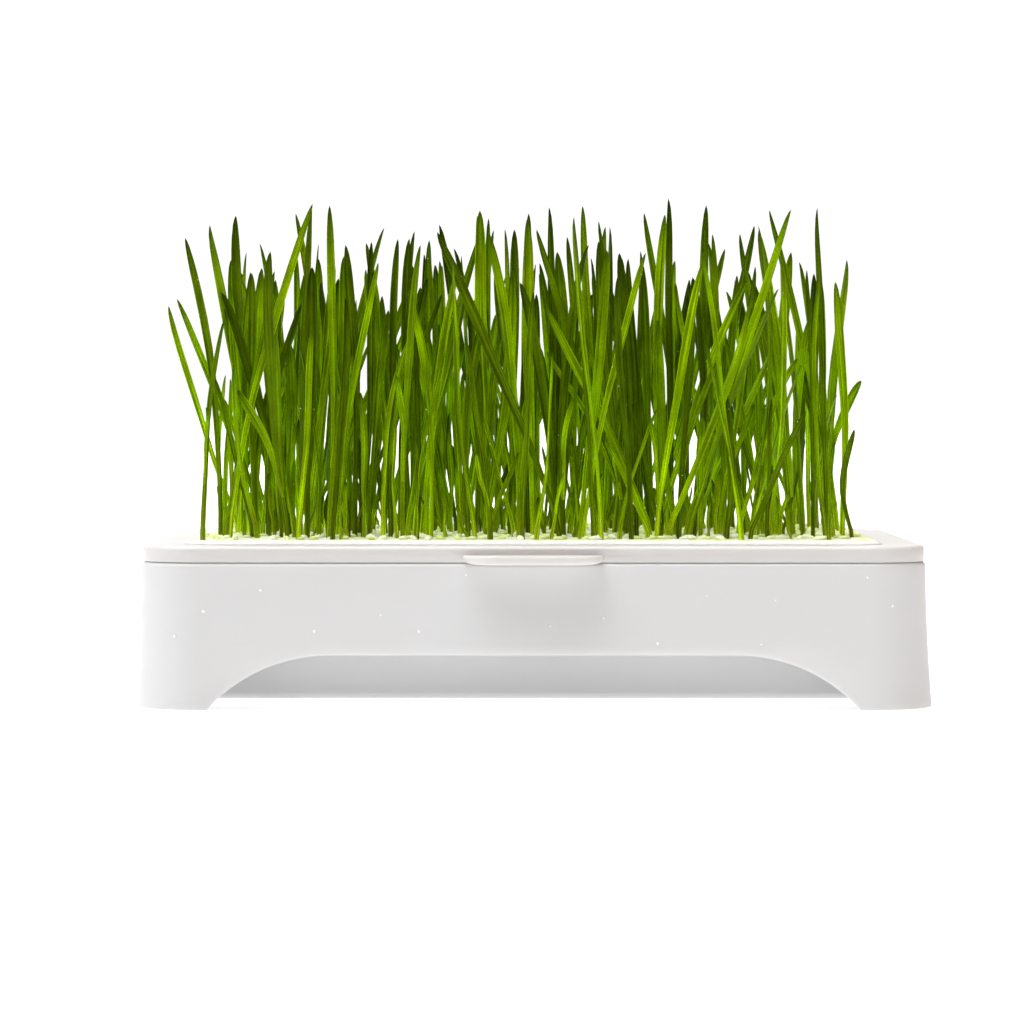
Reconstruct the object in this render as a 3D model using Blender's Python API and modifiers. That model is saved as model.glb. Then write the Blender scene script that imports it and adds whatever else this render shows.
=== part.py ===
"""
Wheatgrass growing in a two-part sprouting tray.

A white water tray stands on a flared skirt with a long, low finger arch in
each long side. A shallow slotted grow tray hangs in it, with its rim just
above the rim of the water tray and a finger tab at the middle of each long
side. A mat of roots and seed fills the grow tray, and the shoots grow out of it.

Frame: metres, +Z up. The origin is on the surface that the tray stands on, in
the middle of the tray. +X runs along the tray, and -Y is its front.
"""

import math
import random

import bmesh
import bpy
import numpy as np
from mathutils import Matrix, Vector

MM = 0.001

# Tray, outer rim
LENGTH = 340.0
DEPTH = 250.0
CORNER = 26.0
CORNER_STEPS = 8

# Water tray
WATER_RIM = 63.0
WATER_WALL = 2.0
RIM_FILLET = 2.2
SKIRT_FLARE = 2.9
FLARE_POWER = 1.6
BASIN_TOP_INSET = 12.5
BASIN_FOOT_INSET = 22.0
BASIN_FLOOR = 5.2
BASIN_CORNER = 15.0
BASIN_FILLET = 4.0

# Finger arches in the skirt
ARCH_HEIGHT = 23.5
ARCH_FLAT_HALF = 87.0
ARCH_RADIUS = 71.5
ARCH_STEPS = 12
ARCH_CUT_FAR = 140.0
ARCH_CUT_NEAR = 112.0

# Grow tray
GROW_RIM = 70.0
GROW_INSET = 0.6
GROW_SKIRT_FOOT = 63.3
GROW_WALL = 1.6
GROW_FILLET = 1.8
FLANGE_INSET = 18.5
GROW_TOP_INSET = 20.0
GROW_FOOT_INSET = 21.5
GROW_FLOOR = 54.5
GROW_CORNER = 14.0
GROW_FLOOR_FILLET = 3.0
SLOT_LENGTH = 24.0
SLOT_WIDTH = 3.0
SLOT_COLUMNS = 8
SLOT_ROWS = 5
SLOT_PITCH_X = 34.0
SLOT_PITCH_Y = 38.0

# Finger tabs of the grow tray, flat on top, with an underside that rounds up to
# its edge. A tab's root is in the wall of the rim, and lower down it stands
# clear of the water tray.
TAB_WIDTH = 60.0
TAB_REACH = 17.0
TAB_CORNER = 12.0
TAB_TOP = 66.2
TAB_EDGE = 0.5
TAB_SHOULDER = 65.2
TAB_FOOT = 62.6
TAB_UNDERCUT = 5.0
TAB_STEPS = 4
TAB_ROOT = 1.4
TAB_CLEARANCE = 0.6

# Root mat
BED_TOP = 72.0
MAT_CLEARANCE = 0.4
MAT_FOOT = GROW_FLOOR + 0.3

# Shoots, each one a tapering three-sided blade that rises from a narrow sheath
SHOOT_COUNT = 272
SHOOT_SEED = 7
BED_HALF_X = 146.0
BED_HALF_Y = 100.0
ROOT_SINK = 8.0
SHEATH_WIDTH = 2.9
CLEARANCE = 0.5
RING_PLACES = (0.0, 0.15, 0.42, 0.72, 0.90, 1.0)
KEEL_DEPTHS = (2.1, 1.9, 1.35, 1.15, 1.0, 0.0)
TEST_POINTS = 56

# How the filling shoots vary: heights in mm above the bed, leans in degrees
SHORT_SHARE = 0.2
SHORT_HEIGHTS = (50, 110)
TALL_MEAN = 118
TALL_SPREAD = 15
TALL_HEIGHTS = (85, 146)
LEANING_SHARE = 0.1
LEANING_ANGLES = (14, 26)
BLADE_WIDTHS = (3.0, 5.4)
TIP_X = (-148, 139)
TIP_Y = 116

# The shoots that make the skyline and the long leaning ones. Each is its base
# x and y, the x of its middle, the x and z of its tip, and its width, in mm.
LEADING_SHOOTS = (
    (-144, -97, -141, -134, 168, 3.0),
    (-131, -40, -149, -164, 175, 3.1),
    (-126, -10, -142, -163, 179, 3.2),
    (-138, -75, -141, -153, 204, 3.5),
    (-126, 20, -136, -150, 214, 5.6),
    (-136, 60, -138, -136, 203, 2.9),
    (-124, -60, -125, -125, 189, 4.0),
    (-133, -92, -119, -96, 218, 3.5),
    (-109, 30, -117, -128, 206, 3.7),
    (-113, 80, -113, -114, 204, 3.4),
    (-99, -85, -98, -97, 191, 5.7),
    (-96, -50, -94, -89, 194, 4.0),
    (-83, -20, -85, -86, 198, 4.5),
    (-71, 50, -71, -79, 207, 3.8),
    (-86, -80, -80, -68, 193, 3.1),
    (-63, -65, -63, -60, 204, 3.5),
    (-56, 0, -59, -57, 207, 4.1),
    (-57, -95, -55, -49, 200, 3.5),
    (-51, 40, -51, -49, 208, 3.8),
    (13, -88, -12, -42, 206, 4.8),
    (-47, -72, -44, -34, 191, 4.0),
    (-24, 10, -25, -26, 218, 3.7),
    (-27, 70, -25, -19, 214, 2.9),
    (-10, -30, -11, -13, 210, 2.7),
    (0, -55, -2, -3, 213, 5.3),
    (10, -10, 8, 7, 221, 4.1),
    (19, 30, 16, 11, 202, 5.6),
    (25, 75, 21, 16, 211, 3.4),
    (29, -35, 25, 22, 220, 3.6),
    (33, 55, 32, 34, 215, 3.8),
    (53, -76, 31, 5, 175, 4.0),
    (46, -60, 43, 38, 198, 4.9),
    (74, 45, 64, 52, 221, 3.3),
    (63, -25, 61, 61, 224, 4.1),
    (53, -94, 62, 74, 193, 3.9),
    (83, 20, 79, 80, 223, 4.2),
    (86, -45, 83, 80, 207, 3.1),
    (115, 60, 108, 98, 212, 3.8),
    (116, -55, 110, 100, 208, 4.5),
    (139, 0, 127, 108, 220, 3.7),
    (123, -75, 123, 120, 190, 2.6),
    (133, 35, 131, 131, 192, 4.2),
    (133, -30, 134, 141, 196, 5.4),
    (140, -88, 135, 140, 120, 3.1),
    (93, -97, 105, 118, 128, 3.0),
)


def clear_scene():
    """Remove whatever the start-up file brought."""
    for old in list(bpy.data.objects):
        bpy.data.objects.remove(old, do_unlink=True)


def new_collection(name):
    """Make a collection under the scene's own."""
    made = bpy.data.collections.new(name)
    bpy.context.scene.collection.children.link(made)
    return made


def new_material(name, colour, roughness):
    """Make a plain Principled material in linear colour."""
    made = bpy.data.materials.new(name)
    made.use_nodes = True
    shader = made.node_tree.nodes["Principled BSDF"]
    shader.inputs["Base Color"].default_value = (*colour, 1.0)
    shader.inputs["Roughness"].default_value = roughness
    shader.inputs["Metallic"].default_value = 0.0
    made.diffuse_color = (*colour, 1.0)
    return made


def new_object(name, mesh, collection, material=None):
    """Wrap a mesh in an object and put it in its collection."""
    made = bpy.data.objects.new(name, mesh)
    collection.objects.link(made)
    if material:
        mesh.materials.clear()
        mesh.materials.append(material)
    return made


def bake(part):
    """Apply every modifier of an object to its mesh."""
    depsgraph = bpy.context.evaluated_depsgraph_get()
    mesh = bpy.data.meshes.new_from_object(part.evaluated_get(depsgraph))
    part.modifiers.clear()
    part.data = mesh


def rounded_ring(inset, corner, z):
    """List the points of a rounded rectangle that lies inset from the outer rim."""
    half_x = LENGTH / 2 - inset
    half_y = DEPTH / 2 - inset
    points = []
    for turn, (sign_x, sign_y) in enumerate(((1, 1), (-1, 1), (-1, -1), (1, -1))):
        centre_x = sign_x * (half_x - corner)
        centre_y = sign_y * (half_y - corner)
        for step in range(CORNER_STEPS + 1):
            angle = math.radians(90 * turn + 90 * step / CORNER_STEPS)
            x = centre_x + corner * math.cos(angle)
            y = centre_y + corner * math.sin(angle)
            points.append(Vector((x, y, z)) * MM)
    return points


def loft(name, rings, close_start=False):
    """Bridge a stack of rings, and close the last one with a flat face."""
    surface = bmesh.new()
    levels = [[surface.verts.new(point) for point in ring] for ring in rings]
    count = len(levels[0])
    for lower, upper in zip(levels, levels[1:]):
        for i in range(count):
            j = (i + 1) % count
            surface.faces.new((lower[i], lower[j], upper[j], upper[i]))
    surface.faces.new(levels[-1])
    if close_start:
        surface.faces.new(levels[0][::-1])
    mesh = bpy.data.meshes.new(name)
    surface.to_mesh(mesh)
    surface.free()
    return mesh


def plate(name, outline, thickness, matrix, collection):
    """Extrude a flat outline of (x, y) points on both sides of its plane."""
    flat = bpy.data.curves.new(name, "CURVE")
    flat.dimensions = "2D"
    flat.fill_mode = "BOTH"
    flat.extrude = thickness * MM / 2
    spline = flat.splines.new("POLY")
    spline.points.add(len(outline) - 1)
    for point, (x, y) in zip(spline.points, outline):
        point.co = (x * MM, y * MM, 0.0, 1.0)
    spline.use_cyclic_u = True
    curve = new_object(name + "_outline", flat, collection)
    curve.matrix_world = matrix
    bpy.context.view_layer.update()
    depsgraph = bpy.context.evaluated_depsgraph_get()
    mesh = bpy.data.meshes.new_from_object(curve.evaluated_get(depsgraph))
    welded = bmesh.new()
    welded.from_mesh(mesh)
    bmesh.ops.remove_doubles(welded, verts=welded.verts, dist=0.00001)
    bmesh.ops.recalc_face_normals(welded, faces=welded.faces)
    welded.to_mesh(mesh)
    welded.free()
    solid = new_object(name, mesh, collection)
    solid.matrix_world = curve.matrix_world
    bpy.data.objects.remove(curve, do_unlink=True)
    return solid


def make_cutter(cutter):
    """Hide an object that only cuts."""
    cutter.hide_render = True
    cutter.display_type = "WIRE"


def add_boolean(part, operation, operand):
    """Cut or join one object, or all of a collection, by the exact solver."""
    modifier = part.modifiers.new(operation.title(), "BOOLEAN")
    modifier.operation = operation
    modifier.solver = "EXACT"
    if isinstance(operand, bpy.types.Collection):
        modifier.operand_type = "COLLECTION"
        modifier.collection = operand
    else:
        modifier.object = operand
    return modifier


def add_solidify(part, thickness):
    """Give an open surface its wall, on the side away from its normals."""
    wall = part.modifiers.new("Wall", "SOLIDIFY")
    wall.thickness = thickness * MM
    wall.offset = -1.0
    wall.use_even_offset = True


def arc(centre, radius, start, end, steps):
    """List points along an arc, with its angles in degrees."""
    points = []
    for step in range(steps + 1):
        angle = math.radians(start + (end - start) * step / steps)
        points.append((centre[0] + radius * math.cos(angle), centre[1] + radius * math.sin(angle)))
    return points


def fillet(inset, z, radius, start, end, steps=4):
    """List (inset, z) points round a profile corner."""
    return [(inset - x, z + y) for x, y in arc((0, 0), radius, start, end, steps)]


def flare(z):
    """Say how far the skirt stands out from the rim at a height."""
    return SKIRT_FLARE * (1 - max(z, 0.0) / WATER_RIM) ** FLARE_POWER


def water_tray(collection, cutters, material):
    """Model the lower tray: skirt, rim, basin wall and floor in one shell."""
    rings = []
    for z in (-4.0, 0.0, 7.0, 15.0, 24.0, 34.0, 46.0):
        out = flare(z)
        rings.append(rounded_ring(-out, CORNER + out, z))
    for inset, z in fillet(RIM_FILLET, WATER_RIM - RIM_FILLET, RIM_FILLET, 0, 90):
        rings.append(rounded_ring(inset, CORNER - inset, z))
    top = BASIN_TOP_INSET
    for inset, z in fillet(top, WATER_RIM - RIM_FILLET, RIM_FILLET, 90, 180):
        rings.append(rounded_ring(inset, BASIN_CORNER, z))
    foot = BASIN_FOOT_INSET
    for inset, z in fillet(foot + BASIN_FILLET, BASIN_FLOOR + BASIN_FILLET, BASIN_FILLET, 360, 270):
        rings.append(rounded_ring(inset, BASIN_CORNER - (inset - foot), z))
    tray = new_object("water_tray", loft("water_tray", rings), collection, material)
    add_solidify(tray, WATER_WALL)

    bpy.ops.mesh.primitive_cube_add(size=1.0, location=(0, 0, -10 * MM))
    ground = bpy.context.object
    ground.name = "ground_cutter"
    ground.scale = (0.5, 0.4, 20 * MM)
    for owner in list(ground.users_collection):
        owner.objects.unlink(ground)
    cutters.objects.link(ground)
    make_cutter(ground)
    add_boolean(tray, "DIFFERENCE", ground)

    centre_z = ARCH_HEIGHT - ARCH_RADIUS
    low = math.degrees(math.asin((-5.0 - centre_z) / ARCH_RADIUS))
    outline = arc((ARCH_FLAT_HALF, centre_z), ARCH_RADIUS, low, 90, ARCH_STEPS)
    outline += arc((-ARCH_FLAT_HALF, centre_z), ARCH_RADIUS, 90, 180 - low, ARCH_STEPS)
    middle = (ARCH_CUT_FAR + ARCH_CUT_NEAR) / 2 * MM
    upright = Matrix.Rotation(math.radians(90), 4, "X")
    for side, name in ((-1, "front_arch_cutter"), (1, "rear_arch_cutter")):
        matrix = Matrix.Translation((0, side * middle, 0)) @ upright
        cutter = plate(name, outline, ARCH_CUT_FAR - ARCH_CUT_NEAR, matrix, cutters)
        make_cutter(cutter)
        add_boolean(tray, "DIFFERENCE", cutter)
    return tray


def tab_ring(inset, z):
    """List the points of a finger tab at one height, drawn in from its full plan."""
    half = TAB_WIDTH / 2 - TAB_CORNER
    end = -(DEPTH / 2 + TAB_REACH) + TAB_CORNER
    root = -DEPTH / 2 + (TAB_ROOT if z > TAB_SHOULDER - TAB_ROOT else -TAB_CLEARANCE)
    plan = [(TAB_WIDTH / 2 - inset, root), (-TAB_WIDTH / 2 + inset, root)]
    plan += arc((-half, end), TAB_CORNER - inset, 180, 270, 6)
    plan += arc((half, end), TAB_CORNER - inset, 270, 360, 6)
    return [Vector((x, y, z)) * MM for x, y in plan]


def tab_rings():
    """List the rings of a finger tab that reaches out along -Y, from below."""
    rings = []
    for step in range(TAB_STEPS + 1):
        angle = math.radians(90 * (1 - step / TAB_STEPS))
        inset = TAB_UNDERCUT * (1 - math.cos(angle))
        rings.append(tab_ring(inset, TAB_SHOULDER - (TAB_SHOULDER - TAB_FOOT) * math.sin(angle)))
    rings.append(tab_ring(0.0, TAB_TOP - TAB_EDGE))
    rings.append(tab_ring(TAB_EDGE, TAB_TOP))
    return rings


def slot_outline():
    """List the plan of one drain slot, a bar with round ends."""
    radius = SLOT_WIDTH / 2
    half = SLOT_LENGTH / 2 - radius
    return arc((half, 0), radius, -90, 90, 4) + arc((-half, 0), radius, 90, 270, 4)


def grow_tray(collection, cutters, material):
    """Model the upper tray: rim skirt, flange, basin, slots and finger tabs."""
    rings = [rounded_ring(GROW_INSET, CORNER - GROW_INSET, GROW_SKIRT_FOOT)]
    for inset, z in fillet(GROW_INSET + GROW_FILLET, GROW_RIM - GROW_FILLET, GROW_FILLET, 0, 90):
        rings.append(rounded_ring(inset, CORNER - inset, z))
    for inset, z in fillet(FLANGE_INSET, GROW_RIM - GROW_FILLET, GROW_FILLET, 90, 170):
        rings.append(rounded_ring(inset, GROW_CORNER, z))
    foot = GROW_FOOT_INSET
    radius = GROW_FLOOR_FILLET
    for inset, z in fillet(foot + radius, GROW_FLOOR + radius, radius, 360, 270):
        rings.append(rounded_ring(inset, GROW_CORNER - (inset - foot), z))
    tray = new_object("grow_tray", loft("grow_tray", rings), collection, material)
    add_solidify(tray, GROW_WALL)

    corner_x = -SLOT_PITCH_X * (SLOT_COLUMNS - 1) / 2 * MM
    corner_y = -SLOT_PITCH_Y * (SLOT_ROWS - 1) / 2 * MM
    place = Matrix.Translation((corner_x, corner_y, (GROW_FLOOR - GROW_WALL / 2) * MM))
    slots = plate("slot_cutter", slot_outline(), 3 * GROW_WALL, place, cutters)
    for count, offset in ((SLOT_COLUMNS, (SLOT_PITCH_X * MM, 0, 0)), (SLOT_ROWS, (0, SLOT_PITCH_Y * MM, 0))):
        row = slots.modifiers.new("Row", "ARRAY")
        row.count = count
        row.use_relative_offset = False
        row.use_constant_offset = True
        row.constant_offset_displace = offset
    make_cutter(slots)
    add_boolean(tray, "DIFFERENCE", slots)

    tabs = new_collection("tabs")
    for turn, name in ((0, "front_tab"), (180, "rear_tab")):
        tab = new_object(name, loft(name, tab_rings(), close_start=True), tabs)
        tab.rotation_euler.z = math.radians(turn)
    bpy.context.view_layer.update()
    add_boolean(tray, "UNION", tabs)
    bake(tray)
    for tab in list(tabs.objects):
        bpy.data.objects.remove(tab, do_unlink=True)
    bpy.data.collections.remove(tabs)
    return tray


def blade_widths(width):
    """Give a blade's width at each of its rings, from the sheath to the tip."""
    foot = min(SHEATH_WIDTH, width)
    return (foot, min(2.7, width), 0.8 * width + 0.2, width, 0.86 * width, 0.0)


def blade_path(base, middle, tip):
    """Give the centre of each ring on the curve through three points."""
    handle = 2 * middle - (base + tip) / 2
    points = []
    for t in RING_PLACES:
        points.append((1 - t) ** 2 * base + 2 * t * (1 - t) * handle + t * t * tip)
    return points


def trace(path, widths):
    """Sample a blade's centre line and its half width along it."""
    places = np.linspace(0.0, 1.0, TEST_POINTS)
    line = np.stack([np.interp(places, RING_PLACES, [p[axis] for p in path]) for axis in range(3)], 1)
    return line, np.interp(places, RING_PLACES, widths) / 2


def stands_clear(traced, placed):
    """Say whether a traced blade keeps clear of all that are placed."""
    line, reach = traced
    low = line.min(0) - 4.0
    high = line.max(0) + 4.0
    for other_line, other_reach in placed:
        if (low > other_line.max(0)).any() or (high < other_line.min(0)).any():
            continue
        apart = np.linalg.norm(line[:, None] - other_line[None], axis=2)
        apart -= reach[:, None] + other_reach[None]
        if apart.min() < CLEARANCE:
            return False
    return True


def leading_shoot(draw, row, attempt):
    """Place one listed shoot, moved a little in depth if it was in the way."""
    x, y, middle_x, tip_x, tip_z, width = row
    if attempt:
        y = min(BED_HALF_Y, max(-BED_HALF_Y, y + draw.uniform(-9, 9)))
    tip_y = y + draw.uniform(-3, 3)
    base = Vector((x, y, BED_TOP))
    middle = Vector((middle_x, y, (BED_TOP + tip_z) / 2))
    return blade_path(base, middle, Vector((tip_x, tip_y, tip_z))), width, draw.uniform(-25, 25)


def filling_shoot(draw):
    """Draw one of the many shoots between: mostly tall and upright, some short."""
    x = draw.uniform(-BED_HALF_X, BED_HALF_X - 6)
    y = draw.uniform(-BED_HALF_Y, BED_HALF_Y)
    if draw.random() < SHORT_SHARE:
        height = draw.uniform(*SHORT_HEIGHTS)
    else:
        height = min(TALL_HEIGHTS[1], max(TALL_HEIGHTS[0], draw.gauss(TALL_MEAN, TALL_SPREAD)))
    if draw.random() < LEANING_SHARE:
        lean = math.radians(draw.uniform(*LEANING_ANGLES) * draw.choice((-1, 1)))
    else:
        lean = math.radians(draw.gauss(0, 6))
    tip_x = x + height * math.tan(lean) - 3.0 * x / BED_HALF_X
    tip_y = y + height * math.tan(math.radians(draw.gauss(0, 5)))
    bow_x = draw.gauss(0, 2.2)
    bow_y = draw.gauss(0, 1.5)
    width = draw.uniform(*BLADE_WIDTHS) * (0.75 + 0.25 * height / TALL_MEAN)
    base = Vector((x, y, BED_TOP))
    tip = Vector((tip_x, tip_y, BED_TOP + height))
    middle = (base + tip) / 2 + Vector((bow_x, bow_y, 0))
    return blade_path(base, middle, tip), width, draw.gauss(0, 38)


def lay_out_shoots():
    """Place the leading shoots, then fill the bed with others that stand clear."""
    draw = random.Random(SHOOT_SEED)
    placed = []
    shoots = []
    for row in LEADING_SHOOTS:
        for attempt in range(30):
            path, width, yaw = leading_shoot(draw, row, attempt)
            traced = trace(path, blade_widths(width))
            if stands_clear(traced, placed):
                placed.append(traced)
                shoots.append((path, width, yaw))
                break
    while len(shoots) < SHOOT_COUNT:
        path, width, yaw = filling_shoot(draw)
        inside = TIP_X[0] < path[-1].x < TIP_X[1] and abs(path[-1].y) < TIP_Y
        traced = trace(path, blade_widths(width))
        if inside and stands_clear(traced, placed):
            placed.append(traced)
            shoots.append((path, width, yaw))
    return shoots


def shoot_mesh(name, path, width, yaw):
    """Loft one blade: a flat face, two sloping faces and a keel, ending in a point."""
    centres = [path[0] - Vector((0, 0, ROOT_SINK))] + path[1:]
    across = Vector((math.cos(math.radians(yaw)), math.sin(math.radians(yaw)), 0))
    solid = bmesh.new()
    rings = []
    for i, (centre, wide, keel) in enumerate(zip(centres, blade_widths(width), KEEL_DEPTHS)):
        if i == len(centres) - 1:
            rings.append([solid.verts.new(centre * MM)])
            continue
        along = (centres[i + 1] - centres[max(i - 1, 0)]).normalized()
        side = (across - along * across.dot(along)).normalized()
        back = along.cross(side)
        corners = (
            centre + side * wide / 2 - back * keel / 3,
            centre + back * keel * 2 / 3,
            centre - side * wide / 2 - back * keel / 3,
        )
        rings.append([solid.verts.new(corner * MM) for corner in corners])
    solid.faces.new(rings[0][::-1])
    for lower, upper in zip(rings, rings[1:]):
        for i in range(3):
            j = (i + 1) % 3
            if len(upper) == 1:
                solid.faces.new((lower[i], lower[j], upper[0]))
            else:
                solid.faces.new((lower[i], lower[j], upper[j], upper[i]))
    mesh = bpy.data.meshes.new(name)
    solid.to_mesh(mesh)
    solid.free()
    return mesh


def sward(collection, material):
    """Model the root mat with every shoot fused into it."""
    wall = GROW_TOP_INSET + MAT_CLEARANCE
    foot = GROW_FOOT_INSET + MAT_CLEARANCE
    profile = (
        (foot + 3.4, MAT_FOOT),
        (foot + 0.6, MAT_FOOT + 1.6),
        (foot, MAT_FOOT + 4.0),
        (wall + 0.1, BED_TOP - 4.0),
        (wall + 0.2, BED_TOP - 1.6),
        (wall + 0.8, BED_TOP - 0.5),
        (wall + 2.4, BED_TOP),
    )
    rings = []
    for inset, z in profile:
        corner = GROW_CORNER - max(inset - foot, 0.0)
        rings.append(rounded_ring(inset, corner, z))
    mesh = loft("wheatgrass_sward", rings, close_start=True)
    mat = new_object("wheatgrass_sward", mesh, collection, material)

    shoots = new_collection("shoots")
    for i, (path, width, yaw) in enumerate(lay_out_shoots()):
        name = "shoot_%03d" % (i + 1)
        new_object(name, shoot_mesh(name, path, width, yaw), shoots)
    bpy.context.view_layer.update()
    add_boolean(mat, "UNION", shoots)
    bake(mat)
    for shoot in list(shoots.objects):
        bpy.data.objects.remove(shoot, do_unlink=True)
    bpy.data.collections.remove(shoots)
    mat.data.materials.clear()
    mat.data.materials.append(material)
    return mat


def main():
    clear_scene()
    parts = new_collection("wheatgrass_tray")
    cutters = new_collection("cutters")
    white = new_material("white_polypropylene", (0.78, 0.77, 0.76), 0.38)
    pale = new_material("white_polypropylene_grow_tray", (0.80, 0.79, 0.78), 0.38)
    green = new_material("wheatgrass_leaf", (0.085, 0.15, 0.006), 0.45)
    trays = [water_tray(parts, cutters, white), grow_tray(parts, cutters, pale)]
    sward(parts, green)
    for tray in trays:
        tray.data.shade_smooth()
        tray.data.set_sharp_from_angle(angle=math.radians(35))


main()
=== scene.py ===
# %% [markdown]
# # Wheatgrass in a two-part sprouting tray
# The object is a white plastic tray in two parts, filled with a mat of roots and
# seed, and a stand of wheatgrass shoots 5 to 15 cm tall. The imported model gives
# its real size and place. Here each of its plain solids is replaced by a finer
# piece of the same form, and gets the finish that the real one has.

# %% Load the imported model
import math
import random

import bmesh
import bpy
import numpy as np
from mathutils import Matrix, Vector


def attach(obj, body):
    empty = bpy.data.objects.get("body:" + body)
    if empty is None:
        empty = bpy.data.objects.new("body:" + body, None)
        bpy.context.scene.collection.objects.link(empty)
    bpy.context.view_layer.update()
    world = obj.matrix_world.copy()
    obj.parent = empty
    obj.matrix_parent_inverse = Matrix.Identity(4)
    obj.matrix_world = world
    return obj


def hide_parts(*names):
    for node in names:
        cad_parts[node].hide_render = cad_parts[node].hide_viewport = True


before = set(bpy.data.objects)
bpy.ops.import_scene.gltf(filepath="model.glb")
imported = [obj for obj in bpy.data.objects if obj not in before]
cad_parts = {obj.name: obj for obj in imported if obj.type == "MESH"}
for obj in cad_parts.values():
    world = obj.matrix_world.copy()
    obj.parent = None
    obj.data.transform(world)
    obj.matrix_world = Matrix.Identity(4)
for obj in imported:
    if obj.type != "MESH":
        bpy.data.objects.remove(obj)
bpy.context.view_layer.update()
MM = 0.001
print("nodes:", sorted(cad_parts))

# %% [markdown]
# ## Two helpers for node trees
# Every material and every Geometry Nodes tree below is a few dozen nodes. Writing
# each as one call keeps a tree readable from top to bottom. Colours are written as
# the sRGB hex values that a colour picker shows, and Blender's sockets want linear
# light, so one function does that sum.

# %% Helpers for nodes and colours
def add_node(tree, kind, inputs=None, **settings):
    """Add a node, apply its settings, then set or link its inputs by name or number."""
    node = tree.nodes.new(kind)
    for name, value in settings.items():
        setattr(node, name, value)
    for key, value in (inputs or {}).items():
        if isinstance(value, bpy.types.NodeSocket):
            tree.links.new(value, node.inputs[key])
        else:
            node.inputs[key].default_value = value
    return node


def linear(hex_code):
    """Turn an sRGB hex colour into linear RGBA."""
    channels = [int(hex_code[i:i + 2], 16) / 255 for i in (1, 3, 5)]
    light = [c / 12.92 if c <= 0.04045 else ((c + 0.055) / 1.055) ** 2.4 for c in channels]
    return (*light, 1.0)


def new_material(name):
    """Make a material with nothing but its output, and give back its tree."""
    material = bpy.data.materials.new(name)
    material.use_nodes = True
    tree = material.node_tree
    tree.nodes.clear()
    return material, tree, add_node(tree, "ShaderNodeOutputMaterial")


def set_stops(ramp, stops):
    """Give a colour ramp its stops, as (place, hex colour)."""
    band = ramp.color_ramp
    while len(band.elements) > 1:
        band.elements.remove(band.elements[-1])
    band.elements[0].position = stops[0][0]
    band.elements[0].color = linear(stops[0][1])
    for place, colour in stops[1:]:
        band.elements.new(place).color = linear(colour)


print("white is", [round(c, 3) for c in linear("#ffffff")])

# %% [markdown]
# ## Moulded polypropylene
# Food trays like this are injection-moulded polypropylene, a soft waxy plastic. It
# is never a hard mirror: the mould leaves a fine grain that spreads each highlight,
# and a little light goes in and comes out beside where it entered. Flow of the melt
# leaves very faint cloudiness. Noise at the size of the mould's grain drives the
# bump, a much larger noise the cloudiness and the handled, slightly duller patches.
# Real mould grain is about 0.2 mm, which is below a pixel, so it is drawn at 0.9 mm.

# %% Moulded polypropylene
GRAIN = 0.9 * MM
CLOUD = 60 * MM
HANDLING = 22 * MM


def moulded_polypropylene(name, colour, cloudy):
    """Make the tray plastic from its colour and the duller colour of its clouding."""
    material, tree, output = new_material(name)
    place = add_node(tree, "ShaderNodeTexCoord").outputs["Object"]
    cloud = add_node(tree, "ShaderNodeTexNoise", {"Vector": place, "Scale": 1 / CLOUD, "Detail": 3.0})
    tint = add_node(
        tree, "ShaderNodeMix", {0: cloud.outputs["Fac"], 6: linear(colour), 7: linear(cloudy)}, data_type="RGBA"
    )
    dull = add_node(tree, "ShaderNodeTexNoise", {"Vector": place, "Scale": 1 / HANDLING, "Detail": 4.0})
    rough = add_node(tree, "ShaderNodeMapRange", {0: dull.outputs["Fac"], 1: 0.3, 2: 0.7, 3: 0.32, 4: 0.46})
    grain = add_node(tree, "ShaderNodeTexNoise", {"Vector": place, "Scale": 1 / GRAIN, "Detail": 2.0})
    bump = add_node(
        tree, "ShaderNodeBump", {"Height": grain.outputs["Fac"], "Strength": 0.25, "Distance": 0.04 * MM}
    )
    shader = add_node(
        tree,
        "ShaderNodeBsdfPrincipled",
        {
            "Base Color": tint.outputs[2],
            "Roughness": rough.outputs[0],
            "Normal": bump.outputs["Normal"],
            "IOR": 1.49,
            "Specular IOR Level": 0.5,
            "Subsurface Weight": 0.5,
            "Subsurface Radius": (1.0, 0.97, 0.92),
            "Subsurface Scale": 4 * MM,
        },
    )
    tree.links.new(shader.outputs["BSDF"], output.inputs["Surface"])
    return material


water_plastic = moulded_polypropylene("moulded_polypropylene_water_tray", "#d7d7d8", "#d3d3d3")
grow_plastic = moulded_polypropylene("moulded_polypropylene_grow_tray", "#d5d2d0", "#d1cecc")
print("plastics:", water_plastic.name, grow_plastic.name)

# %% [markdown]
# ## Rounded rectangles and lofts
# Both trays are one kind of shape: a rounded rectangle that changes size and height
# from ring to ring, as a mould maker would sweep it. A stack of such rings, bridged
# by faces and closed by a flat floor, is an open surface. Solidify then gives it the
# even wall that a moulding needs to cool without warping.

# %% Rings and lofts
LENGTH = 340.0
DEPTH = 250.0
CORNER = 26.0
CORNER_STEPS = 20


def rounded_ring(inset, corner, z, steps=CORNER_STEPS):
    """List the points of a rounded rectangle that lies inset from the outer rim."""
    half_x = LENGTH / 2 - inset
    half_y = DEPTH / 2 - inset
    points = []
    for turn, (sign_x, sign_y) in enumerate(((1, 1), (-1, 1), (-1, -1), (1, -1))):
        for step in range(steps + 1):
            angle = math.radians(90 * turn + 90 * step / steps)
            x = sign_x * (half_x - corner) + corner * math.cos(angle)
            y = sign_y * (half_y - corner) + corner * math.sin(angle)
            points.append(Vector((x, y, z)) * MM)
    return points


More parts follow.
